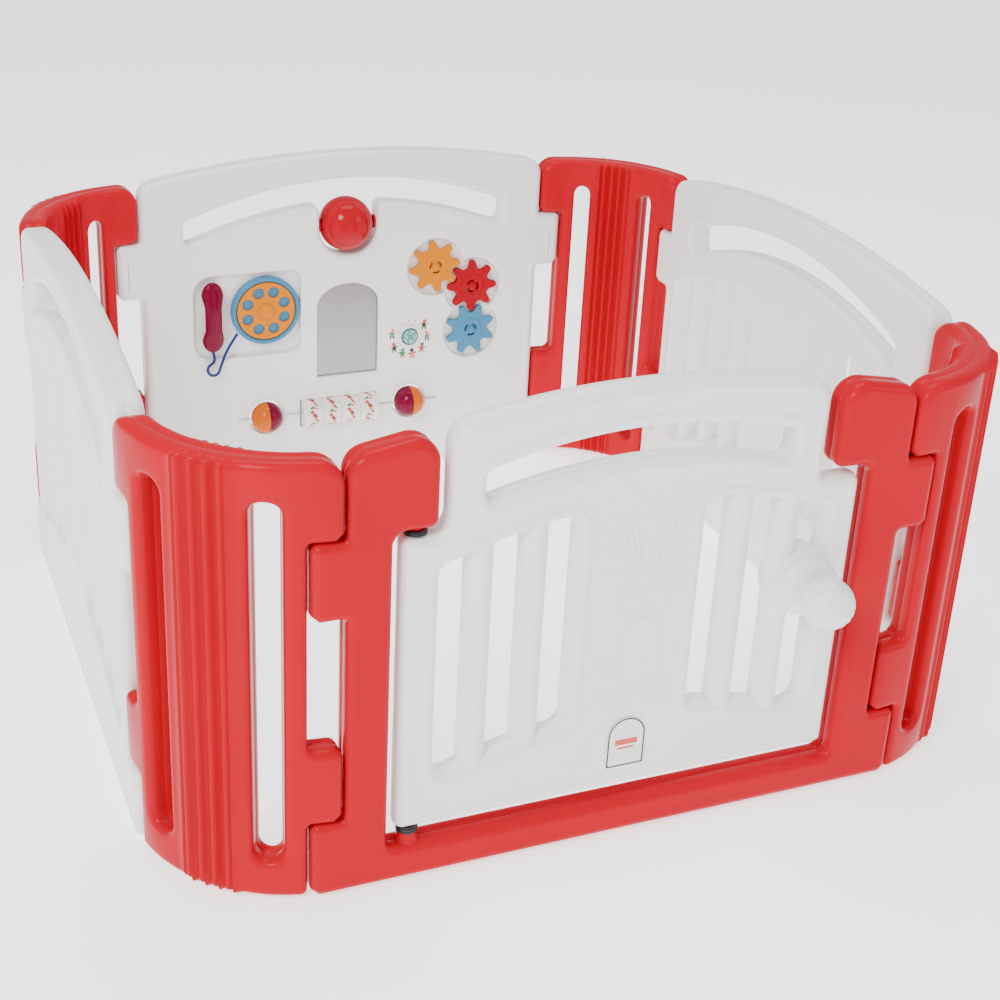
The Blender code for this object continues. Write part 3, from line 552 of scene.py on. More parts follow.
# %% [markdown]
# The plain plates carry a shallow relief.  Here it is a plain rabbit made of ovals: a raised line
# 2 mm wide is laid along each oval, half sunk in the plate.

# %% Relief of ovals
RIDGE_R, RIDGE_SINK = 0.0022, 0.0011
RABBIT = [(-0.019, 0.437, 0.0125, 0.040, 12), (0.032, 0.440, 0.0125, 0.041, -16),
          (-0.018, 0.432, 0.0060, 0.026, 12), (0.030, 0.435, 0.0060, 0.027, -16),
          (0.006, 0.366, 0.038, 0.036, 0), (-0.008, 0.371, 0.0075, 0.0080, 0),
          (0.023, 0.374, 0.0070, 0.0080, 0), (-0.008, 0.370, 0.0025, 0.0030, 0),
          (0.023, 0.373, 0.0025, 0.0030, 0), (0.010, 0.351, 0.0060, 0.0040, 0),
          (0.006, 0.277, 0.034, 0.053, 0), (-0.036, 0.262, 0.0110, 0.0080, 20),
          (-0.020, 0.212, 0.0110, 0.0190, -35), (0.030, 0.214, 0.0110, 0.0180, 30)]


def add_relief(bm, face_y, side):
    """Raised lines along every oval, on the face that looks towards side * Y."""
    for x, z, wide, high, lean in RABBIT:
        turn = Matrix.Rotation(math.radians(lean), 2)
        points = [Vector((x, z)) + turn @ Vector((wide * math.cos(t), high * math.sin(t)))
                  for t in (math.tau * k / 36 for k in range(36))]
        y = side * (face_y - RIDGE_SINK)
        add_mesh(bm, tube([(p.x, y, p.y) for p in points], RIDGE_R, closed=True))


print(len(RABBIT), "ovals in the relief")

# %% [markdown]
# ## Barred fences
# A fence is one moulding: the arched handle slot, two groups of round bars and a plain plate
# between them.  The bars end in the half-round lips of their group, as in the mould, where a rod
# shaped cavity runs into the lip.

# %% Fences
FENCE_GAPS = 4
FENCE_BAR_SHY = 0.003     # how far the bars stay under the panel's face
SLOT_R, SLOT_POINTS = 0.012, 22


def fence(name, node, x, turn):
    """One barred fence, turned into its place."""
    slot = band(-SLOT_END, SLOT_END, SLOT_TOP, SLOT_LOW, SLOT_R, SLOT_POINTS)
    loops = [(side_outline(), edge_profile(HALF, EDGE_R)),
             (hole(slot), edge_profile(HALF, RIM_R)),
             (hole(group(FENCE_GAPS, -1)), lip_profile(HALF, LIP_W)),
             (hole(group(FENCE_GAPS, 1)), lip_profile(HALF, LIP_W))]
    bm = two_faced(loops)
    for side in (-1, 1):
        add_bars(bm, FENCE_GAPS, side, HALF - FENCE_BAR_SHY)
        add_relief(bm, HALF - STEP, side)
    return piece(name, put(bm, (x, PEN_Y, 0), turn), WHITE, "pen", [node])


fence("left_fence_moulding", "fence_left", -SIDE_X, -math.pi / 2)
fence("right_fence_moulding", "fence_right", SIDE_X, math.pi / 2)

# %% [markdown]
# ## Gate frame
# A red U: two posts and a sill in one moulding.  The posts' heads reach inward over the door's
# shoulders.  Two cones stand on the frame for the hinge: one hangs from the left head, one stands
# on the sill.

# %% Gate frame
POST_X, HEAD_X, HEAD_LOW, SILL_TOP = 0.326, 0.270, 0.499, 0.052
HINGE_X = (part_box("hinge_bush_top")[0].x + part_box("hinge_bush_top")[1].x) / 2


def post_inside(side):
    """Inner edge of one post, from its head down to the sill for side = 1."""
    run = [(HEAD_X, panel_top(HEAD_X), 0.032), (HEAD_X, HEAD_LOW, 0.013), (POST_X, HEAD_LOW, 0.018),
           (POST_X, SILL_TOP, 0.012)]
    return run if side > 0 else [(-x, z, r) for x, z, r in reversed(run)]


frame_outline = tab_corners(1) + post_inside(1) + post_inside(-1) + tab_corners(-1)
frame_bm = two_faced([(frame_outline, edge_profile(HALF, EDGE_R, border=False))], 8)
bush_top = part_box("hinge_bush_top")[1].z
bush_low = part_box("hinge_bush_bottom")[0].z
add_rod(frame_bm, (HINGE_X, 0, bush_top), (HINGE_X, 0, HEAD_LOW + 0.010), 0.0105, 0.0150)
add_rod(frame_bm, (HINGE_X, 0, SILL_TOP - 0.006), (HINGE_X, 0, bush_low), 0.0175, 0.0120)
piece("gate_frame_moulding", put(frame_bm, (0, GATE_Y, 0)), RED, "pen", ["gate_frame"])

# %% [markdown]
# The door turns on two black nylon bushes.  Each is a short drum with two grooves and a pin that
# enters the door's stile, so it is one profile on the lathe.

# %% Hinge bushes
BUSH_R, BUSH_PIN_R, PIN_LEN = 0.0145, 0.0060, 0.022
GROOVE = 0.0012           # depth of a groove


def bush(name, node, flange_low, flange_top, pin_low, pin_top):
    """Grooved flange and the pin that goes into the door's stile."""
    r, deep, pin = BUSH_R, BUSH_R - GROOVE, BUSH_PIN_R
    tall = flange_top - flange_low
    grooves = [(r, 0.0), (r, 0.2), (deep, 0.28), (deep, 0.36), (r, 0.44), (r, 0.62),
               (deep, 0.70), (deep, 0.78), (r, 0.86), (r - GROOVE / 2, 1.0)]
    edge = [(radius, flange_low + share * tall) for radius, share in grooves]
    if pin_low < flange_low:
        profile = [(0, pin_low), (pin, pin_low), (pin, flange_low)] + edge + [(0, flange_top)]
    else:
        profile = [(0, flange_low)] + edge + [(pin, flange_top), (pin, pin_top), (0, pin_top)]
    bm = turned(profile, (HINGE_X, GATE_Y, 0), (0, 0, 1))
    piece(name, bm, NYLON, "pen", [node])


low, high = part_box("hinge_bush_top")
bush("upper_hinge_bush", "hinge_bush_top", low.z + PIN_LEN, high.z, low.z, high.z)
low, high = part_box("hinge_bush_bottom")
bush("lower_hinge_bush", "hinge_bush_bottom", low.z, high.z - PIN_LEN, low.z, high.z)

# %% [markdown]
# ## Door
# The door's edges are rounder than the fences': its outline is a half-round tube all the way, which
# also makes the stile that the hinge pins enter.  The latch sits on a round boss in the right
# border.

# %% Door
DOOR_HALF = 0.021
DOOR_R, DOOR_STEP = door_high.x, 0.488
DOOR_L = door_low.x
NECK_L, NECK_R = -0.258, 0.253
DOOR_FALL = 0.40
DOOR_EDGE = 0.0165
DOOR_GAPS = 3
DOOR_BAR_SHY = 0.002
LATCH = Vector((0.240, GATE_Y, 0.343))
BOSS_FRONT, BOSS_R, BOSS_TOP_R = 0.0268, 0.045, 0.038


def door_top(x):
    """Height of the door's top edge at x."""
    return crown(x, door_high.z, DOOR_FALL)


door_outline = [(DOOR_L, door_low.z, 0.010), (DOOR_R, door_low.z, 0.012),
                (DOOR_R, DOOR_STEP, 0.014), (NECK_R, DOOR_STEP, 0.010),
                (NECK_R, door_top(NECK_R), 0.036)]
door_outline += arch(NECK_R, NECK_L, door_top, 18)
door_outline += [(NECK_L, door_top(NECK_L), 0.036), (NECK_L, DOOR_STEP, 0.022),
                 (DOOR_L, DOOR_STEP, 0.010)]
door_slot = band(-0.212, 0.206, SLOT_TOP, SLOT_LOW, 0.012, 16)
door_bm = two_faced([(door_outline, lip_profile(DOOR_HALF, DOOR_EDGE)),
                     (hole(door_slot), edge_profile(DOOR_HALF, RIM_R)),
                     (hole(group(DOOR_GAPS, -1)), lip_profile(DOOR_HALF, LIP_W)),
                     (hole(group(DOOR_GAPS, 1)), lip_profile(DOOR_HALF, LIP_W))])
for side in (-1, 1):
    add_bars(door_bm, DOOR_GAPS, side, DOOR_HALF - DOOR_BAR_SHY)
    add_relief(door_bm, DOOR_HALF - STEP, side)
boss = [(0, BOSS_FRONT), (BOSS_TOP_R, BOSS_FRONT)] + arc(BOSS_TOP_R, 0.0198, 0.007, 90, 0, 6)
boss += [(BOSS_R, -DOOR_HALF + 0.006)] + arc(0.041, -DOOR_HALF + 0.006, 0.004, 0, -90, 4)
boss += [(0, -DOOR_HALF + 0.002)]
add_shape(door_bm, turned(boss, (LATCH.x, 0, LATCH.z), (0, -1, 0)))
piece("gate_door_moulding", put(door_bm, (0, GATE_Y, 0)), WHITE, "gate", ["gate_door"])

# %% [markdown]
# ## Latch
# A round rose is fixed on the boss.  In front of it stands the knob, a ball with shallow flutes
# that run to its pole so that a wet hand can turn it.  Behind the door the knob's spindle carries
# the tongue that swings behind the post.

# %% Latch
rose_low, rose_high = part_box("latch_rose")
rose_back, rose_front = GATE_Y - rose_high.y, GATE_Y - rose_low.y
rose_r = (rose_high.x - rose_low.x) / 2
ROSE_BORE = 0.0083        # clears the spindle
rose = [(ROSE_BORE, rose_front), (0.020, rose_front), (0.0235, rose_front - 0.0012)]
rose += arc(0.0265, rose_front - 0.0155, 0.0155, 80, 0, 8)
rose += [(rose_r, rose_back), (ROSE_BORE, rose_back)]
piece("rose_cap", turned(rose, LATCH, (0, -1, 0), 64), WHITE, "gate", ["latch_rose"])

# %% [markdown]
# The knob is turned first and fluted afterwards.  A sine of the angle round the knob pushes its
# points in, and the flutes fade out towards the neck, as the moulded ones do.

# %% Fluted knob
knob_low, knob_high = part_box("latch_knob")
KNOB_R = (knob_high.x - knob_low.x) / 2
KNOB_OUT = GATE_Y - knob_low.y - KNOB_R
NECK_R_KNOB, NECK_END = 0.0165, -0.0345
FLUTES, FLUTE_DEPTH = 14, 0.0011
FLUTE_TWIST = 18          # radians of slant for each metre along the knob
knob_profile = arc(0, 0, KNOB_R, 90, -62, 30)
knob_profile += [(NECK_R_KNOB, -KNOB_R * 0.93), (NECK_R_KNOB, NECK_END), (0, NECK_END)]
knob_bm = turned(knob_profile, (0, 0, 0), (0, 0, 1), 112)
for vert in knob_bm.verts:
    around = math.atan2(vert.co.y, vert.co.x)
    reach = max(vert.co.z / KNOB_R, 0) * math.hypot(vert.co.x, vert.co.y) / KNOB_R
    cut = abs(math.sin(around * FLUTES / 2 + vert.co.z * FLUTE_TWIST)) ** 0.5
    vert.co *= 1 - FLUTE_DEPTH / KNOB_R * (1 - cut) * min(reach * 5, 1)
stand = Vector((0, 0, 1)).rotation_difference(Vector((0, -1, 0))).to_matrix().to_4x4()
at = Matrix.Translation((LATCH.x, GATE_Y - KNOB_OUT, LATCH.z))
bmesh.ops.transform(knob_bm, verts=knob_bm.verts, matrix=at @ stand)
piece("fluted_knob", knob_bm, WHITE, "latch", ["latch_knob"])

# %% [markdown]
# The spindle runs through the door.  The tongue behind it is a flat tapered plate with a hub, drawn
# as an outline with radii like the panels, only thinner.

# %% Spindle and tongue
spindle_low, spindle_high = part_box("latch_spindle")
tongue_low, tongue_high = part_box("latch_tongue")
spindle_bm = bmesh.new()
add_rod(spindle_bm, (LATCH.x, spindle_low.y, LATCH.z), (LATCH.x, spindle_high.y, LATCH.z),
        (spindle_high.x - spindle_low.x) / 2)
piece("knob_spindle", spindle_bm, WHITE, "latch", ["latch_spindle"])

TONGUE_T, TONGUE_EDGE_R = 0.008, 0.002
TONGUE_TIP, TONGUE_TOP = 0.015, 0.017   # half width of its tip, and its height above the spindle
tongue_half = (tongue_high.x - tongue_low.x) / 2
tongue_foot = tongue_low.z - LATCH.z
tongue_outline = [(-TONGUE_TIP, tongue_foot, 0.013), (TONGUE_TIP, tongue_foot, 0.013),
                  (tongue_half, TONGUE_TOP, 0.014), (-tongue_half, TONGUE_TOP, 0.014)]
tongue_edge = edge_profile(TONGUE_T / 2, TONGUE_EDGE_R, border=False)
tongue_bm = put(two_faced([(tongue_outline, tongue_edge)]),
                (LATCH.x, tongue_high.y - TONGUE_T / 2, LATCH.z))
hub = [(0, 0.0), (0.013, 0.0), (0.013, -0.0045), (0.0145, -0.0060), (0, -0.0060)]
add_shape(tongue_bm, turned(hub, (LATCH.x, tongue_low.y, LATCH.z), (0, -1, 0)))
piece("latch_tongue_moulding", tongue_bm, WHITE, "latch", ["latch_tongue"])

# %% [markdown]
# The label is a thin arched film with a printed border and two plain bars of colour.

# %% Door label
label_low, label_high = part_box("door_label")
LABEL_R = (label_high.x - label_low.x) / 2
label_mid = (label_high.x + label_low.x) / 2
label_shoulder = label_high.z - LABEL_R
INK_T = 0.0002            # thickness of a printed layer


def label_outline(shrink):
    """Arched outline of the label, shrunk all round."""
    r, low_z = LABEL_R - shrink, label_low.z + shrink
    run = [(label_mid - r, low_z, 0.002), (label_mid + r, low_z, 0.002)]
    return run + [(label_mid + x, z, 0) for x, z in arc(0, label_shoulder, r, 0, 180, 24)]


def thin_plate(bm, loops, low_y, high_y):
    """Flat film between two y values."""
    thin = two_faced([(corners, [(0, 0), (0, (high_y - low_y) / 2)]) for corners in loops], 4)
    add_shape(bm, put(thin, (0, (low_y + high_y) / 2, 0)))


label_bm = bmesh.new()
thin_plate(label_bm, [label_outline(0)], label_low.y + INK_T, label_high.y)
piece("label_film_plate", label_bm, FILM, "gate", ["door_label"])
border_bm = bmesh.new()
thin_plate(border_bm, [label_outline(0.0006), hole(label_outline(0.0027))],
           label_low.y, label_low.y + INK_T)
piece("label_border", border_bm, INK, "gate")
bars_bm = bmesh.new()
for z, wide, thick in ((0.1475, 0.0160, 0.0042), (0.1385, 0.0120, 0.0014)):
    bar = [(label_mid - wide, z - thick, 0.001), (label_mid + wide, z - thick, 0.001),
           (label_mid + wide, z + thick, 0.001), (label_mid - wide, z + thick, 0.001)]
    thin_plate(bars_bm, [bar], label_low.y, label_low.y + INK_T)
piece("label_bars", bars_bm, PAINT_RED, "gate")

# %% [markdown]
# ## Corner panels
# A corner is drawn flat, as if rolled out, and rolled round a quarter circle afterwards.  Planes
# cut the flat mesh into narrow strips first, because a face only bends at its edges.  The cuts are
# marked as seams, and a limited dissolve then clears the fill's thin triangles between them, which
# would shade unevenly once bent.  Four ribs run up the middle of both faces.  They are the same
# strips, pushed in and out by a sine.

# %% Corner panels
CORNER_R = 0.203
ARC = CORNER_R * math.pi / 2
SEAM = 0.0025
CORNER_TAB_TOP = 0.215
RIB_FROM, RIB_TO, RIBS = math.radians(35.5), math.radians(54.5), 4
RIB_CREST, RIB_GROOVE = 0.003, 0.0075
CORNER_EDGE = 0.011
TAB_REACH = TAB_END - SPAN
TOUCH = 0.0003
SLOT_HALF, SLOT_BOTTOM, SLOT_HEAD, SLOT_ROUND = 0.0172, 0.055, 0.550, 0.0165
SLOT_ANGLES = (25, 65)
END_FLAT, END_BLEND = math.radians(13.5), math.radians(14)   # straight ends, then into the curve
PEG_TIP, PEG_ROOT, PEG_LEN = 0.0070, 0.0095, 0.020


def corner_loops():
    """Outline and slots of a corner that is rolled out flat."""
    tab = CORNER_R * math.asin(SEAM / CORNER_R)
    body = CORNER_R * math.asin((TAB_REACH + SEAM) / CORNER_R)
    left = [(tab, SHOULDER, 0.032), (tab, HIGH_TAB_TOP + TOUCH + CHAMFER, 0.004),
            (tab + CHAMFER, HIGH_TAB_TOP + TOUCH, 0.004), (body, HIGH_TAB_TOP + TOUCH, 0.006),
            (body, CORNER_TAB_TOP, 0.011), (tab, CORNER_TAB_TOP, 0.012),
            (tab, LOW_TAB_TOP + TOUCH + CHAMFER, 0.004),
            (tab + CHAMFER, LOW_TAB_TOP + TOUCH, 0.004),
            (body, LOW_TAB_TOP + TOUCH, 0.006), (body, BASE, 0.010)]
    right = [(ARC - x, z, r) for x, z, r in reversed(left)]
    loops = [(left + right, edge_profile(HALF, CORNER_EDGE, border=False))]
    for degrees in SLOT_ANGLES:
        x = math.radians(degrees) * CORNER_R
        x0, x1 = x - SLOT_HALF, x + SLOT_HALF
        slot = [(x0, SLOT_BOTTOM, SLOT_ROUND), (x1, SLOT_BOTTOM, SLOT_ROUND),
                (x1, SLOT_HEAD, SLOT_ROUND), (x0, SLOT_HEAD, SLOT_ROUND)]
        loops.append((hole(slot), edge_profile(HALF, RIM_R, border=False)))
    return loops


def rib_height(angle):
    """How far the ribs push the face out at an angle round the corner."""
    if not RIB_FROM < angle < RIB_TO:
        return 0.0
    share = (angle - RIB_FROM) / (RIB_TO - RIB_FROM) * RIBS
    return abs(math.sin(share * math.pi)) ** 0.8 * (RIB_CREST + RIB_GROOVE) - RIB_GROOVE


def rolled(point):
    """Where a point of the flat corner lies once it is rolled."""
    angle = point.x / CORNER_R
    mid = Vector((-math.sin(angle), -math.cos(angle), 0)) * CORNER_R
    free = min(max((min(angle, math.pi / 2 - angle) - END_FLAT) / END_BLEND, 0), 1)
    free = free * free * (3 - 2 * free)
    end = 0 if angle < math.pi / 4 else math.pi / 2
    facing = end + (angle - end) * free
    off = -point.y
    off += math.copysign(rib_height(angle) * (abs(off) / HALF) ** 2, off)
    return mid + Vector((-math.sin(facing), -math.cos(facing), 0)) * off + Vector((0, 0, point.z))


def cut_strips(bm):
    """Cut a flat corner where it will bend, and clear the thin triangles between the cuts."""
    folds = [math.radians(a) for a in range(3, 90, 3) if not RIB_FROM < math.radians(a) < RIB_TO]
    folds += [RIB_FROM + (RIB_TO - RIB_FROM) * k / (RIBS * 8) for k in range(RIBS * 8 + 1)]
    for angle in sorted(folds):
        flat = bm.verts[:] + bm.edges[:] + bm.faces[:]
        cut = bmesh.ops.bisect_plane(bm, geom=flat, dist=MERGE, plane_no=(1, 0, 0),
                                     plane_co=(angle * CORNER_R, 0, 0))["geom_cut"]
        for fold in (item for item in cut if isinstance(item, bmesh.types.BMEdge)):
            fold.seam = True
    bmesh.ops.dissolve_limit(bm, angle_limit=math.radians(0.5), verts=bm.verts, edges=bm.edges,
                             delimit={"SEAM"})


def corner_shape():
    """One corner panel, rolled, with its four pegs."""
    bm = two_faced(corner_loops())
    cut_strips(bm)
    for vert in bm.verts:
        vert.co = rolled(vert.co)
    for x, y in ((-TAB_REACH / 2, -CORNER_R), (-CORNER_R, -TAB_REACH / 2)):
        for low_z in (LOW_TAB_TOP + TOUCH, HIGH_TAB_TOP + TOUCH):
            add_rod(bm, (x, y, low_z - PEG_LEN), (x, y, low_z + 0.008), PEG_TIP, PEG_ROOT)
    return bm


for k, name in enumerate(("front_left", "front_right", "back_right", "back_left")):
    x = -SPAN if "left" in name else SPAN
    y = PEN_Y + (-SPAN if "front" in name else SPAN)
    bm = put(corner_shape(), (x, y, 0), k * math.pi / 2)
    piece(f"{name}_corner_moulding", bm, RED, f"{name}_corner", [f"corner_{name}"])

# %% [markdown]
# ## Wall of toys
# The inner face has a notch for the ball and recesses for the toys; the outer face is plain.  So
# the two faces are followed separately and share the ring at the parting line.

# %% Outlines of the toys' recesses
BALL = Vector((0, TOYS_Y, (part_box("spin_ball")[0].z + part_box("spin_ball")[1].z) / 2))
NOTCH_R = 0.055
RECESS = 0.012


def gear_middle(colour):
    """(x, z) of a gear's pin."""
    low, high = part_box("gear_pin_" + colour)
    return Vector(((low.x + high.x) / 2, (low.z + high.z) / 2))


GEAR_MIDDLES = {colour: gear_middle(colour) for colour in ("yellow", "red", "blue")}
GEAR_RECESS_R = 0.0565


def gear_recess():
    """Union of three circles, walked round the outside."""
    middles = [GEAR_MIDDLES[c] for c in ("yellow", "red", "blue")]
    open_half = math.degrees(math.acos((middles[0] - middles[1]).length / 2 / GEAR_RECESS_R))
    up = math.degrees(math.atan2(*(middles[0] - middles[1]).yx))
    down = math.degrees(math.atan2(*(middles[2] - middles[1]).yx))
    runs = [(1, down + open_half, up - open_half),
            (0, up - 180 + open_half, up + 180 - open_half),
            (1, up + open_half, down + 360 - open_half),
            (2, down - 180 + open_half, down + 180 - open_half)]
    corners = []
    for which, start, end in runs:
        steps = max(int(abs(end - start) / 7), 3)
        corners += arc(*middles[which], GEAR_RECESS_R, start, end, steps)[:-1]
    return [(x, z, 0) for x, z in corners]


PHONE_MID, PHONE_HALF = (-0.192, 0.3485), (0.100, 0.080)
phone_x = (PHONE_MID[0] - PHONE_HALF[0], PHONE_MID[0] + PHONE_HALF[0])
phone_z = (PHONE_MID[1] - PHONE_HALF[1], PHONE_MID[1] + PHONE_HALF[1])
phone_recess = [(phone_x[0], phone_z[0], 0.034), (phone_x[1], phone_z[0], 0.018),
                (phone_x[1], phone_z[1], 0.018), (phone_x[0], phone_z[1], 0.034)]
mirror_low, mirror_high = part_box("mirror")
MIRROR_SHOULDER = 0.350   # height where the mirror's sides turn into its arch


def mirror_outline(grow):
    """Arched outline of the mirror, grown all round."""
    half, low_z, high_z = mirror_high.x + grow, mirror_low.z - grow, mirror_high.z + grow
    rise = high_z - MIRROR_SHOULDER
    crest = [(half * math.cos(t), MIRROR_SHOULDER + rise * math.sin(t), 0)
             for t in (math.pi * k / 30 for k in range(31))]
    return [(-half, low_z, 0.003), (half, low_z, 0.003)] + crest


roller_low, roller_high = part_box("picture_roller_1")[0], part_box("picture_roller_4")[1]
ROW_Z = (roller_low.z + roller_high.z) / 2
PLAY = 0.003              # room round the rollers
window_x = (roller_low.x - PLAY, roller_high.x + PLAY)
window_z = (roller_low.z - PLAY, roller_high.z + PLAY)
window = [(window_x[0], window_z[0], 0.004), (window_x[1], window_z[0], 0.004),
          (window_x[1], window_z[1], 0.004), (window_x[0], window_z[1], 0.004)]
SPINNER_X = [(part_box(f"spinner_{s}_orange")[0].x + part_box(f"spinner_{s}_magenta")[0].x
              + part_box(f"spinner_{s}_orange")[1].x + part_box(f"spinner_{s}_magenta")[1].x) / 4
             for s in ("left", "right")]
SPINNER_HOLE_R = 0.034
ring_low, ring_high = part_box("music_ring")
MUSIC = ((ring_low.x + ring_high.x) / 2, (ring_low.z + ring_high.z) / 2)
print("gear recess", len(gear_recess()), "corners, row of rollers at", round(ROW_Z, 4))

# %% [markdown]
# The slot at the top of this wall is a handle like the others, but a round notch hangs from its
# lower edge, where the big ball turns.  Its outline is walked corner by corner.

# %% Slot with the ball's notch
notch_z = crown(NOTCH_R, SLOT_LOW)
slot_low = [(x, crown(x, SLOT_LOW), 0) for x in (-0.27, -0.24, -0.21, -0.18, -0.15, -0.12, -0.09)]
slot_low += [(-NOTCH_R, notch_z, 0.014)]
slot_low += [(x, z, 0) for x, z in arc(0, BALL.z, NOTCH_R, 180, 360, 28)]
slot_low += [(NOTCH_R, notch_z, 0.014)]
slot_low += [(x, crown(x, SLOT_LOW), 0) for x in (0.09, 0.12, 0.15, 0.18, 0.21, 0.24, 0.27)]
end_low, end_top = crown(SLOT_END, SLOT_LOW), crown(SLOT_END, SLOT_TOP)
toy_slot = [(-SLOT_END, end_low, SLOT_R)] + slot_low
toy_slot += [(SLOT_END, end_low, SLOT_R), (SLOT_END, end_top, SLOT_R)]
toy_slot += arch(SLOT_END, -SLOT_END, lambda x: crown(x, SLOT_TOP), SLOT_POINTS)
toy_slot += [(-SLOT_END, end_top, SLOT_R)]
print("slot and notch", len(toy_slot), "corners")

# %% [markdown]
# The inner face gets every outline and the outer face only those that go through.  A recess starts
# from its own floor, so the fill closes that floor as one more level.

# %% Wall of toys, one face and then the other
plate = HALF - STEP
hole_profile = [(0.0, 0.0), (0.0, plate - 0.0015), (0.0004, plate - 0.0004), (0.0015, plate),
                (0.0025, plate)]
recess_profile = [(0.0002, HALF - RECESS), (0.0, HALF - RECESS + 0.0002), (0.0, plate - 0.0020),
                  (0.0006, plate - 0.0006), (0.0020, plate), (0.0030, plate)]
through = [window] + [circle(x, ROW_Z, SPINNER_HOLE_R) for x in SPINNER_X]
recesses = [phone_recess, mirror_outline(0.0005), gear_recess(), circle(*MUSIC, 0.0168)]
shared = [(side_outline(), edge_profile(HALF, EDGE_R)), (hole(toy_slot), edge_profile(HALF, RIM_R))]
shared += [(hole(corners), hole_profile) for corners in through]
wall_bm = bmesh.new()
for corners, rings in shared + [(hole(corners), recess_profile) for corners in recesses]:
    follow(wall_bm, corners, rings, -1)
fill_levels(wall_bm, -1)
for corners, rings in shared:
    follow(wall_bm, corners, rings, 1)
fill_levels(wall_bm, 1)
bmesh.ops.remove_doubles(wall_bm, verts=wall_bm.verts, dist=MERGE)
bmesh.ops.recalc_face_normals(wall_bm, faces=wall_bm.faces)
piece("toy_wall_moulding", put(wall_bm, (0, TOYS_Y, 0)), WHITE, "pen", ["toy_wall"])

# %% [markdown]
# ## Toys
# The ball, the two-coloured spinners and the rollers are turned shapes, so they are spun from a
# profile.  Each rides on its own body and turns on its own axle.

# %% Ball and its axle
BALL_R = (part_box("spin_ball")[1].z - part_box("spin_ball")[0].z) / 2
AXLE_R, STUB_R = 0.008, 0.0125
bore = AXLE_R + TOUCH
lean = math.degrees(math.asin(bore / BALL_R))
ball = [(bore, -BALL_R * math.cos(math.radians(lean)))]
ball += arc(0, 0, BALL_R, -90 + lean, 90 - lean, 40)[1:]
piece("glossy_ball", turned(ball, BALL, (1, 0, 0), 72), BALL_RED, "ball", ["spin_ball"])
axle_low, axle_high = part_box("ball_axle")
axle_bm = bmesh.new()
add_rod(axle_bm, (axle_low.x, TOYS_Y, BALL.z), (axle_high.x, TOYS_Y, BALL.z), AXLE_R)
for side in (-1, 1):
    add_rod(axle_bm, (side * (BALL_R + 0.0006), TOYS_Y, BALL.z),
            (side * (NOTCH_R + 0.004), TOYS_Y, BALL.z), STUB_R)
piece("ball_axle_stubs", axle_bm, BALL_RED, "pen", ["ball_axle"])

# %% [markdown]
# One bright steel rod carries the spinners and the rollers.  Each spinner is a ball of two halves
# in two colours, so half a profile is spun twice, once to each side.

# %% Steel rod
rod_low, rod_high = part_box("toy_rod")
ROD_R = 0.0020
rod_bm = bmesh.new()
add_rod(rod_bm, (rod_low.x, FACE_Y, ROW_Z), (rod_high.x, FACE_Y, ROW_Z), ROD_R)
piece("spinner_rod", rod_bm, STEEL, "pen", ["toy_rod"])

# %% Two-coloured spinners
SPINNER_R = (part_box("spinner_left_orange")[1].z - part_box("spinner_left_orange")[0].z) / 2
rod_bore = ROD_R + TOUCH
SPINNER_GAP = 0.0001      # between the middle and a half's flat face
lean = math.degrees(math.asin(rod_bore / SPINNER_R))
half_ball = [(rod_bore, SPINNER_GAP)] + arc(0, 0, SPINNER_R, 0.25, 90 - lean, 22)
for side, x, orange_way in (("left", SPINNER_X[0], -1), ("right", SPINNER_X[1], 1)):
    halves = [(orange_way, "orange", ORANGE), (-orange_way, "magenta", MAGENTA)]
    for way, colour, finish in sorted(halves, key=lambda half: half[0]):
        bm = turned(half_ball, (x, FACE_Y, ROW_Z), (way, 0, 0), 56)
        piece(f"{side}_spinner_{colour}_half", bm, finish, f"{side}_spinner",
              [f"spinner_{side}_{colour}"])

# %% [markdown]
# The rollers are printed.  Their pictures are small patches of ink: flat ovals bent round the
# drum, a hair above its surface.  The pictures are a plain bird of five ovals on a leafy twig.

# %% Picture rollers
ROLLER_R = (roller_high.z - roller_low.z) / 2
RED_INK, DARK_INK, WARM_INK, GREEN_INK = 1, 2, 3, 4
PRINTS = [(0.0000, 0.0000, 0.0036, 0.0064, 25, RED_INK),       # body
          (0.0058, -0.0112, 0.0014, 0.0056, 28, DARK_INK),     # tail
          (0.0036, -0.0096, 0.0013, 0.0048, 28, RED_INK),
          (-0.0040, 0.0072, 0.0031, 0.0032, 0, RED_INK),       # head
          (-0.0070, 0.0066, 0.0015, 0.0013, 20, DARK_INK),     # beak
          (0.0028, -0.0006, 0.0017, 0.0048, 25, DARK_INK),     # wing
          (0.0020, -0.0050, 0.0031, 0.0014, 25, WARM_INK),
          (-0.0042, -0.0185, 0.0034, 0.0019, 20, GREEN_INK),   # leaves and a bud
          (0.0036, -0.0194, 0.0036, 0.0014, -12, RED_INK),
          (-0.0008, -0.0168, 0.0014, 0.0026, 0, GREEN_INK)]
PICTURES = 5
INK_LIFT, LAYER = 0.00010, 0.00003
CUT = 0.0015              # strips narrow enough to bend with the drum
DRUM_EDGE = 0.0016


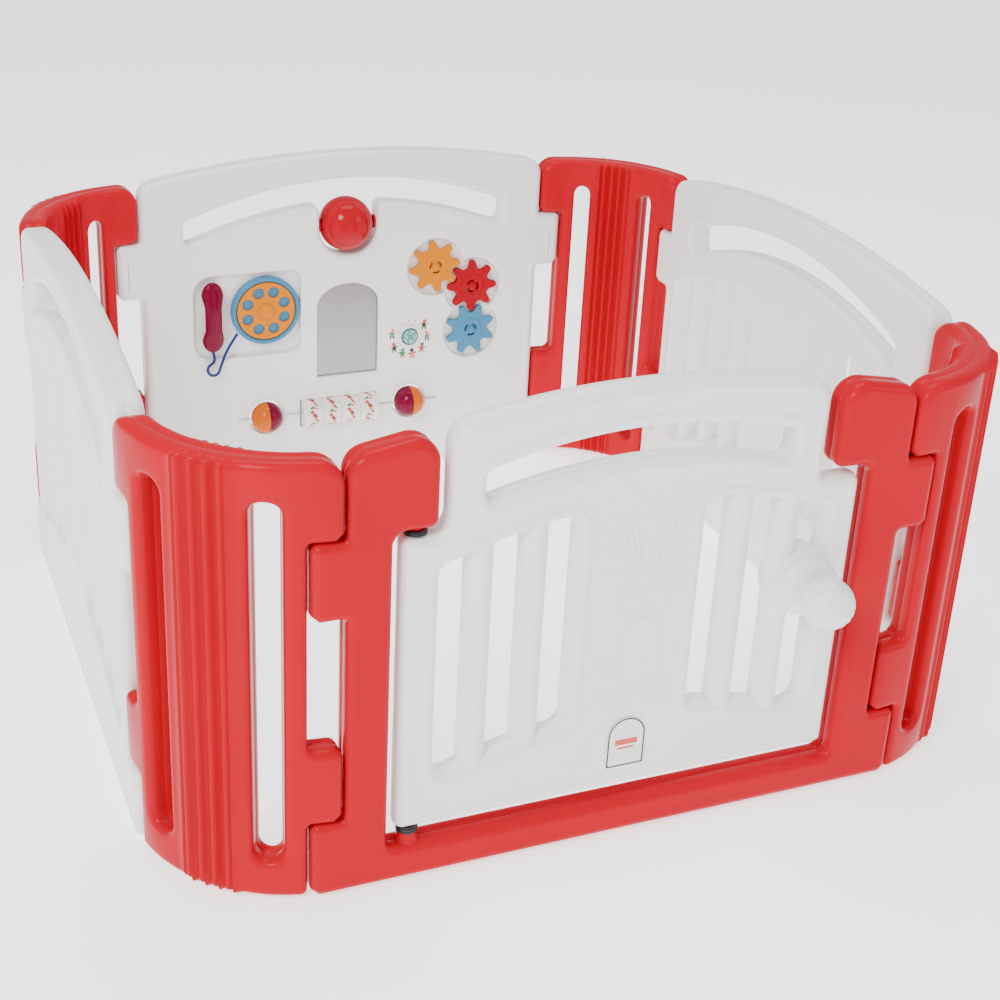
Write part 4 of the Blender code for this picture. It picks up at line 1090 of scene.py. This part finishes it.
def flat_picture():
    """The ovals of one picture, one thin layer above another, cut into strips."""
    bm = bmesh.new()
    for layer, (x, z, wide, high, lean, ink) in enumerate(PRINTS):
        turn = Matrix.Rotation(math.radians(lean), 4, "Z")
        place = Matrix.Translation((x, z, INK_LIFT + layer * LAYER)) @ turn
        verts = bmesh.ops.create_circle(bm, cap_ends=True, segments=20, radius=1.0,
                                        matrix=place @ Matrix.Diagonal((wide, high, 1, 1)))["verts"]
        for face in {face for vert in verts for face in vert.link_faces}:
            face.material_index = ink
    for k in range(-16, 9):   # from below the twig to above the head
        bmesh.ops.bisect_plane(bm, geom=bm.verts[:] + bm.edges[:] + bm.faces[:], dist=1e-7,
                               plane_co=(0, k * CUT, 0), plane_no=(0, 1, 0))
    return bm


def add_print(bm, middle, start):
    """Pictures bent round a drum, one behind the other."""
    for copy in range(PICTURES):
        sheet = flat_picture()
        for vert in sheet.verts:
            around = start + math.tau * copy / PICTURES + vert.co.y / ROLLER_R
            reach = ROLLER_R + vert.co.z
            vert.co = (middle + vert.co.x, FACE_Y - math.cos(around) * reach,
                       ROW_Z + math.sin(around) * reach)
        add_shape(bm, sheet)


for k, turn_start in enumerate((0.12, -0.22, 0.05, 0.42), 1):
    low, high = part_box(f"picture_roller_{k}")
    half_w = (high.x - low.x) / 2
    inner, end = ROLLER_R - DRUM_EDGE, half_w - DRUM_EDGE
    drum = [(rod_bore, -half_w)] + arc(inner, -end, DRUM_EDGE, -90, 0, 5)
    drum += arc(inner, end, DRUM_EDGE, 0, 90, 5) + [(rod_bore, half_w)]
    bm = turned(drum, ((low.x + high.x) / 2, FACE_Y, ROW_Z), (1, 0, 0), 64)
    add_print(bm, (low.x + high.x) / 2, turn_start)
    piece(f"printed_roller_{k}", bm, [IVORY, PAINT_RED, INK, PAINT_ORANGE, LEAF], f"roller_{k}",
          [f"picture_roller_{k}"])

# %% [markdown]
# ## Gears
# Each gear is a plate with eight round teeth, a raised hub with three arc windows, and a small pip
# on one tooth by which a child counts the turns.

# %% Gears
TEETH, TIP_R, ROOT_R = 8, 0.0505, 0.0350
GEAR_HALF, GEAR_EDGE = 0.0045, 0.0022
HUB_R, HUB_RISE = 0.0232, 0.0009
TOOTH_WIDE, TOOTH_TIP = 0.0095, 0.0068


def gear_corners():
    """Outline of the teeth, rounded at their tips and roots."""
    corners = []
    for k in range(TEETH):
        base = math.sqrt(ROOT_R ** 2 - TOOTH_WIDE ** 2)
        tooth = [(base, -TOOTH_WIDE, 0.0045)]
        tooth += [(x, z, 0) for x, z in arc(TIP_R - TOOTH_TIP, 0, TOOTH_TIP, -80, 80, 10)]
        tooth += [(base, TOOTH_WIDE, 0.0045)]
        turn = Matrix.Rotation(math.tau * k / TEETH, 2)
        corners += [(*(turn @ Vector(p[:2])), p[2]) for p in tooth]
    return corners


def arc_window(middle):
    """Curved window in the hub, round an angle."""
    run = arc(0, 0, 0.0126, middle - 38, middle + 38, 10)
    run += arc(0, 0, 0.0090, middle + 34, middle - 34, 8)
    return [(x, z, 0) for x, z in run]


def gear(colour, finish, start):
    """Plate, hub and pip, turned to mesh with its neighbour."""
    x, z = GEAR_MIDDLES[colour]
    round_edge = [(0.0, 0.0)]
    round_edge += [(i, GEAR_HALF - GEAR_EDGE + d)
                   for i, d in profile_points(GEAR_EDGE, GEAR_EDGE, 4)]
    round_edge += [(0.0030, GEAR_HALF)]
    square = [(0.0, 0.0), (0.0, GEAR_HALF)]
    bm = two_faced([(gear_corners(), round_edge), (hole(circle(0, 0, 0.0190)), square)], 4)
    hub_half = GEAR_HALF + HUB_RISE
    hub_edge = [(0.0, 0.0), (0.0, hub_half - 0.0009), (0.0004, hub_half - 0.0002),
                (0.0012, hub_half)]
    window_edge = [(0.0, 0.0), (0.0, hub_half - 0.0004), (0.0005, hub_half)]
    loops = [(circle(0, 0, HUB_R), hub_edge)]
    loops += [(hole(arc_window(120 * k + 90)), window_edge) for k in range(3)]
    loops.append((hole(circle(0, 0, 0.0043, 24)), [(0.0, 0.0), (0.0, hub_half)]))
    add_shape(bm, two_faced(loops, 4))
    pip = turned([(0, 0.0012), (0.0024, 0.0008), (0.0032, 0.0), (0.0032, -0.001), (0, -0.001)],
                 (TIP_R - 0.0085, -GEAR_HALF, 0), (0, -1, 0), 24)
    add_shape(bm, pip)
    bmesh.ops.transform(bm, verts=bm.verts, matrix=Matrix.Rotation(-start, 4, "Y"))
    low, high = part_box("gear_" + colour)
    put(bm, (x, (low.y + high.y) / 2, z))
    piece(f"{colour}_gear_wheel", bm, finish, f"{colour}_gear", ["gear_" + colour])
    low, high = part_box("gear_pin_" + colour)
    out = high.y - low.y
    pin = [(0, 0.0), (0.0040, 0.0), (0.0040, out - 0.0052), (0.0072, out - 0.0052)]
    pin += [(0.0075, out - 0.0030), (0.0066, out - 0.0012), (0.0040, out - 0.0003), (0, out)]
    piece(f"{colour}_gear_post", turned(pin, (x, high.y, z), (0, -1, 0), 32), finish, "pen",
          ["gear_pin_" + colour])


red_start = -math.pi / 2
starts = {"red": red_start}
for other in ("yellow", "blue"):
    line = GEAR_MIDDLES[other] - GEAR_MIDDLES["red"]
    starts[other] = 2 * math.atan2(line.y, line.x) + math.pi - red_start - math.pi / TEETH
gear("yellow", YELLOW, starts["yellow"])
gear("red", GEAR_RED, starts["red"])
gear("blue", BLUE, starts["blue"])

# %% [markdown]
# ## Telephone
# A blue ring holds the dial, a yellow plate with eight finger holes, through which the blue
# shows.  The ring and the dome in the dial's middle are turned, and the plate is an outline.

# %% Dial and base
phone_low, phone_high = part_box("phone_base")
DIAL = Vector(((phone_low.x + phone_high.x) / 2, phone_high.y, (phone_low.z + phone_high.z) / 2))
DIAL_R, RING_R = 0.0545, (phone_high.x - phone_low.x) / 2
ring_top = phone_high.y - phone_low.y
base = [(0, 0.0), (RING_R - 0.001, 0.0), (RING_R, 0.001), (RING_R, ring_top - 0.005)]
base += arc(RING_R - 0.0045, ring_top - 0.0045, 0.0045, 0, 90, 6)
base += arc(RING_R - 0.0058, ring_top - 0.0022, 0.0022, 90, 180, 4)
base += [(DIAL_R + 0.0010, 0.0078), (0, 0.0078)]
piece("dial_ring", turned(base, DIAL, (0, -1, 0), 80), BLUE, "pen", ["phone_base"])

dial_low, dial_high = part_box("phone_dial")
dial_half = (dial_high.y - dial_low.y) / 2
FINGERS, FINGER_RING_R, FINGER_R, FINGER_EDGE = 8, 0.0370, 0.0103, 0.0012
finger = [(0.0, 0.0), (0.0, dial_half - FINGER_EDGE)]
finger += [(i, dial_half - FINGER_EDGE + d)
           for i, d in profile_points(FINGER_EDGE, FINGER_EDGE, 4)]
finger += [(0.0018, dial_half)]
loops = [(circle(0, 0, DIAL_R, 96), finger),
         (hole(circle(0, 0, 0.0045, 24)), [(0.0, 0.0), (0.0, dial_half)])]
for k in range(FINGERS):
    around = math.tau * (k + 0.5) / FINGERS
    x, z = FINGER_RING_R * math.cos(around), FINGER_RING_R * math.sin(around)
    loops.append((hole(circle(x, z, FINGER_R, 32)), finger))
dial_bm = put(two_faced(loops, 4), (DIAL.x, (dial_low.y + dial_high.y) / 2, DIAL.z))
piece("dial_plate", dial_bm, YELLOW, "dial", ["phone_dial"])

cap_low, cap_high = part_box("dial_cap")
cap_out = phone_high.y - cap_low.y
cap_r = (cap_high.x - cap_low.x) / 2
DOME_RISE, STEM_R = 0.0058, 0.0042
dome = [(0, cap_out)] + [(cap_r * math.sin(t), cap_out - DOME_RISE * (1 - math.cos(t)))
                         for t in (math.pi / 2 * k / 8 for k in range(1, 9))]
dome += [(cap_r, cap_out - 0.0064), (STEM_R, cap_out - 0.0064), (STEM_R, cap_out - 0.0112),
         (0, cap_out - 0.0112)]
piece("dial_dome", turned(dome, DIAL, (0, -1, 0), 48), YELLOW, "dial", ["dial_cap"])

# %% [markdown]
# The handset is a ball stretched into a bone: two round ends and a slim grip.  The ball's points
# are pushed out along a rounded box, and a soft step makes the ends wider than the grip.

# %% Handset
handset_low, handset_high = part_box("handset")
hand_mid = (handset_low + handset_high) / 2
hand_half = (handset_high - handset_low) / 2
hand_bm = bmesh.new()
bmesh.ops.create_uvsphere(hand_bm, u_segments=40, v_segments=48, radius=1.0)


def soft_step(value, start, end):
    """From 0 to 1 between start and end, without a kink."""
    share = min(max((value - start) / (end - start), 0), 1)
    return share * share * (3 - 2 * share)


for vert in hand_bm.verts:
    t = vert.co.z
    across = math.hypot(vert.co.x, vert.co.y)
    squared = (1 - abs(t) ** 4.5) ** 0.5 / across if across > 1e-6 else 0
    bulge = soft_step(abs(t), 0.28, 0.72)
    wide = hand_half.x * (0.70 + 0.30 * bulge)
    deep = hand_half.y * (0.62 + 0.14 * bulge)
    lean_out = -hand_half.y * 0.36 * (1 - bulge) + hand_half.y * 0.10 * bulge
    vert.co = (hand_mid.x + vert.co.x * squared * wide,
               hand_mid.y + lean_out + vert.co.y * squared * deep, hand_mid.z + hand_half.z * t)
piece("receiver_bone", hand_bm, MAGENTA, "receiver", ["handset"])

# %% [markdown]
# ## Sound unit
# A turned ring holds a domed button.  Both share the middle that the frame gives.

# %% Sound unit
ring_out = FACE_Y - ring_low.y
ring_profile = [(0.0172, 0.0001), (0.0172, ring_out - 0.0008)]
ring_profile += arc(0.0184, ring_out - 0.0012, 0.0012, 180, 90, 4)
ring_profile += arc(0.0212, ring_out - 0.0018, 0.0018, 90, 0, 5) + [(0.0230, 0.0001)]
piece("sound_ring", turned(ring_profile, (MUSIC[0], FACE_Y, MUSIC[1]), (0, -1, 0), 56), WHITE, "pen",
      ["music_ring"])
button_low, button_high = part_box("music_button")
button_out, button_in = FACE_Y - button_low.y, FACE_Y - button_high.y
BUTTON_R, BUTTON_RISE = 0.0150, 0.0030
button_profile = [(0, button_out)]
button_profile += [(BUTTON_R * math.sin(t), button_out - BUTTON_RISE * (1 - math.cos(t)))
                   for t in (math.pi / 2 * k / 8 for k in range(1, 9))]
button_profile += [(BUTTON_R, button_in), (0, button_in)]
button_bm = turned(button_profile, (MUSIC[0], FACE_Y, MUSIC[1]), (0, -1, 0), 48)
piece("sound_button", button_bm, TEAL, "button", ["music_button"])

# %% [markdown]
# Small figures of plain ovals are printed round the sound unit.  Each oval is a film as thin as
# ink, laid level with the plate, and the inks change from figure to figure.

# %% Print round the sound unit
FIGURE_RING_R, MARK_RING_R = 0.0360, 0.031
FIGURE_ANGLES = (167, 214, 248, 281, 315, 356, 36)
FIGURE = [(0, -0.0015, 0.0042, 0.0050, 0), (0.0012, 0.0062, 0.0040, 0.0038, 1),
          (-0.0030, -0.0078, 0.0017, 0.0034, 2), (0.0032, -0.0076, 0.0017, 0.0032, 2),
          (-0.0052, 0.0012, 0.0030, 0.0014, 3), (0.0054, -0.0004, 0.0030, 0.0014, 1)]
FIGURE_INKS = [TEAL, PAINT_ORANGE, INK, PAINT_RED, LEAF]
ARM, ARM_LEAN = 3, 25     # the oval that leans, by how many degrees
figures_bm = bmesh.new()


def add_oval(bm, x, z, wide, high, lean, ink):
    """One flat patch of ink on the wall's plate."""
    turn = Matrix.Rotation(math.radians(lean), 2)
    spots = [Vector((x, z)) + turn @ Vector((wide * math.cos(t), high * math.sin(t)))
             for t in (math.tau * k / 16 for k in range(16))]
    old = len(bm.faces)
    thin_plate(bm, [[(p.x, p.y, 0) for p in spots]], FACE_Y + STEP - INK_T, FACE_Y + STEP)
    bm.faces.ensure_lookup_table()
    for face in bm.faces[old:]:
        face.material_index = ink


for k, degrees in enumerate(FIGURE_ANGLES):
    around = math.radians(degrees)
    x = MUSIC[0] + FIGURE_RING_R * math.cos(around)
    z = MUSIC[1] + FIGURE_RING_R * math.sin(around)
    way = (-1) ** k
    for dx, dz, wide, high, ink in FIGURE:
        add_oval(figures_bm, x + dx * way, z + dz, wide, high, ARM_LEAN * way if ink == ARM else 0,
                 (ink + k * 2) % len(FIGURE_INKS))
for degrees in (70, 95, 122):
    around = math.radians(degrees)
    x = MUSIC[0] + MARK_RING_R * math.cos(around)
    z = MUSIC[1] + MARK_RING_R * math.sin(around)
    add_oval(figures_bm, x, z, 0.0010, 0.0030, degrees - 60, 1)
piece("sound_unit_print", figures_bm, FIGURE_INKS, "pen")

# %% [markdown]
# Dots stand round the ring, small balls sunk in its crest, and raised arcs mark the button.

# %% Dots and arcs
DOTS, DOT_RING_R, DOT_R = 18, 0.0202, 0.0009
dots_bm = bmesh.new()
for k in range(DOTS):
    around = math.tau * k / DOTS
    x, z = MUSIC[0] + DOT_RING_R * math.cos(around), MUSIC[1] + DOT_RING_R * math.sin(around)
    bmesh.ops.create_icosphere(dots_bm, subdivisions=2, radius=DOT_R,
                               matrix=Matrix.Translation((x, FACE_Y - ring_out + 0.0005, z)))
piece("sound_ring_dots", dots_bm, INK, "pen")
arcs_bm = bmesh.new()
for radius, count, reach in ((0.0118, 5, 26), (0.0074, 4, 28)):
    out = button_out - BUTTON_RISE * (1 - math.cos(math.asin(radius / BUTTON_R)))
    for k in range(count):
        line = arc(*MUSIC, radius, 360 * k / count - reach, 360 * k / count + reach, 8)
        add_mesh(arcs_bm, tube([(x, FACE_Y - out + 0.0002, z) for x, z in line], 0.0008))
piece("sound_button_arcs", arcs_bm, IVORY, "button")

# %% [markdown]
# The mirror is a silvered film on a thin arched plate.  A child's mirror is never glass, so its
# bump is wide and shallow and bends what it shows.

# %% Mirror
mirror_edge = [(0.0, 0.0), (0.0, 0.0009), (0.0006, 0.0015), (0.0016, 0.0015)]
mirror_bm = two_faced([(mirror_outline(0), mirror_edge)])
put(mirror_bm, (0, (mirror_low.y + mirror_high.y) / 2, 0))
piece("mirror_film_plate", mirror_bm, SILVER, "pen", ["mirror"])

# %% [markdown]
# Non-slip pads of rubber lie under the flat sides near their ends: small blocks with bevelled edges.

# %% Non-slip pads
PAD_EDGE = 0.0008
for side in ("front", "right", "back", "left"):
    for number in (1, 2):
        low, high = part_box(f"foot_pad_{side}_{number}")
        bm = bmesh.new()
        bmesh.ops.create_cube(bm, size=1.0)
        bmesh.ops.scale(bm, verts=bm.verts, vec=high - low)
        bmesh.ops.bevel(bm, geom=bm.edges[:], offset=PAD_EDGE, offset_type="OFFSET", segments=2,
                        profile=0.5, affect="EDGES", material=-1)
        bmesh.ops.translate(bm, verts=bm.verts, vec=(low + high) / 2)
        piece(f"{side}_pad_{number}", bm, PAD, "pen", [f"foot_pad_{side}_{number}"])

# %% [markdown]
# ## Stage
# A plain pale floor and wide soft lights, as in a catalogue studio.

# %% Floor
FLOOR_HALF = 70.0         # far enough that no view sees its end
FLOOR_GLOW = 1.3          # a lit table, as under a catalogue picture
floor_bm = bmesh.new()
bmesh.ops.create_grid(floor_bm, x_segments=1, y_segments=1, size=FLOOR_HALF)
floor_mesh = bpy.data.meshes.new("floor")
floor_bm.to_mesh(floor_mesh)
floor_bm.free()
pale = moulded("pale_floor", (0.95, 0.95, 0.95), 0.7, drift=0.005, peel=0.0)
glow = pale.node_tree.nodes["Principled BSDF"].inputs
glow["Emission Color"].default_value = (1, 1, 1, 1)
glow["Emission Strength"].default_value = FLOOR_GLOW
floor_mesh.materials.append(pale)
floor = bpy.data.objects.new("floor", floor_mesh)
bpy.context.scene.collection.objects.link(floor)
print("floor", FLOOR_HALF * 2, "m wide")

# %% [markdown]
# A large key light from the front left gives soft shadows, a weak one fills the right side, and a
# third hangs over the pen so that the inside isn't dark.

# %% Lights
SKY = 0.70
world = bpy.data.worlds.new("studio")
bpy.context.scene.world = world
world.use_nodes = True
world.node_tree.nodes["Background"].inputs["Color"].default_value = (1.0, 1.0, 1.0, 1.0)
world.node_tree.nodes["Background"].inputs["Strength"].default_value = SKY


def softbox(name, at, aim, size, power):
    """Rectangular light that looks at a point."""
    light = bpy.data.lights.new(name, "AREA")
    light.shape = "RECTANGLE"
    light.size, light.size_y = size
    light.energy = power
    lamp = bpy.data.objects.new(name, light)
    bpy.context.scene.collection.objects.link(lamp)
    lamp.location = at
    lamp.rotation_euler = (Vector(aim) - Vector(at)).to_track_quat("-Z", "Y").to_euler()
    print("light", name, power, "W")


softbox("key_light", (-2.6, -2.2, 3.4), (0, 0, 0.3), (1.5, 1.5), 190)
softbox("fill_light", (3.0, -2.6, 2.2), (0, 0, 0.3), (1.6, 1.4), 25)
softbox("top_light", (0.3, 0.8, 3.8), (0, 0, 0.2), (2.2, 2.2), 85)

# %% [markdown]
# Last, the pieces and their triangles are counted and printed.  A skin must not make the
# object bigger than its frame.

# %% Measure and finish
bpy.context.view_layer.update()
triangles = sum(len(p.vertices) - 2 for made in made_pieces for p in made.data.polygons)
print(len(made_pieces), "pieces", triangles, "triangles")
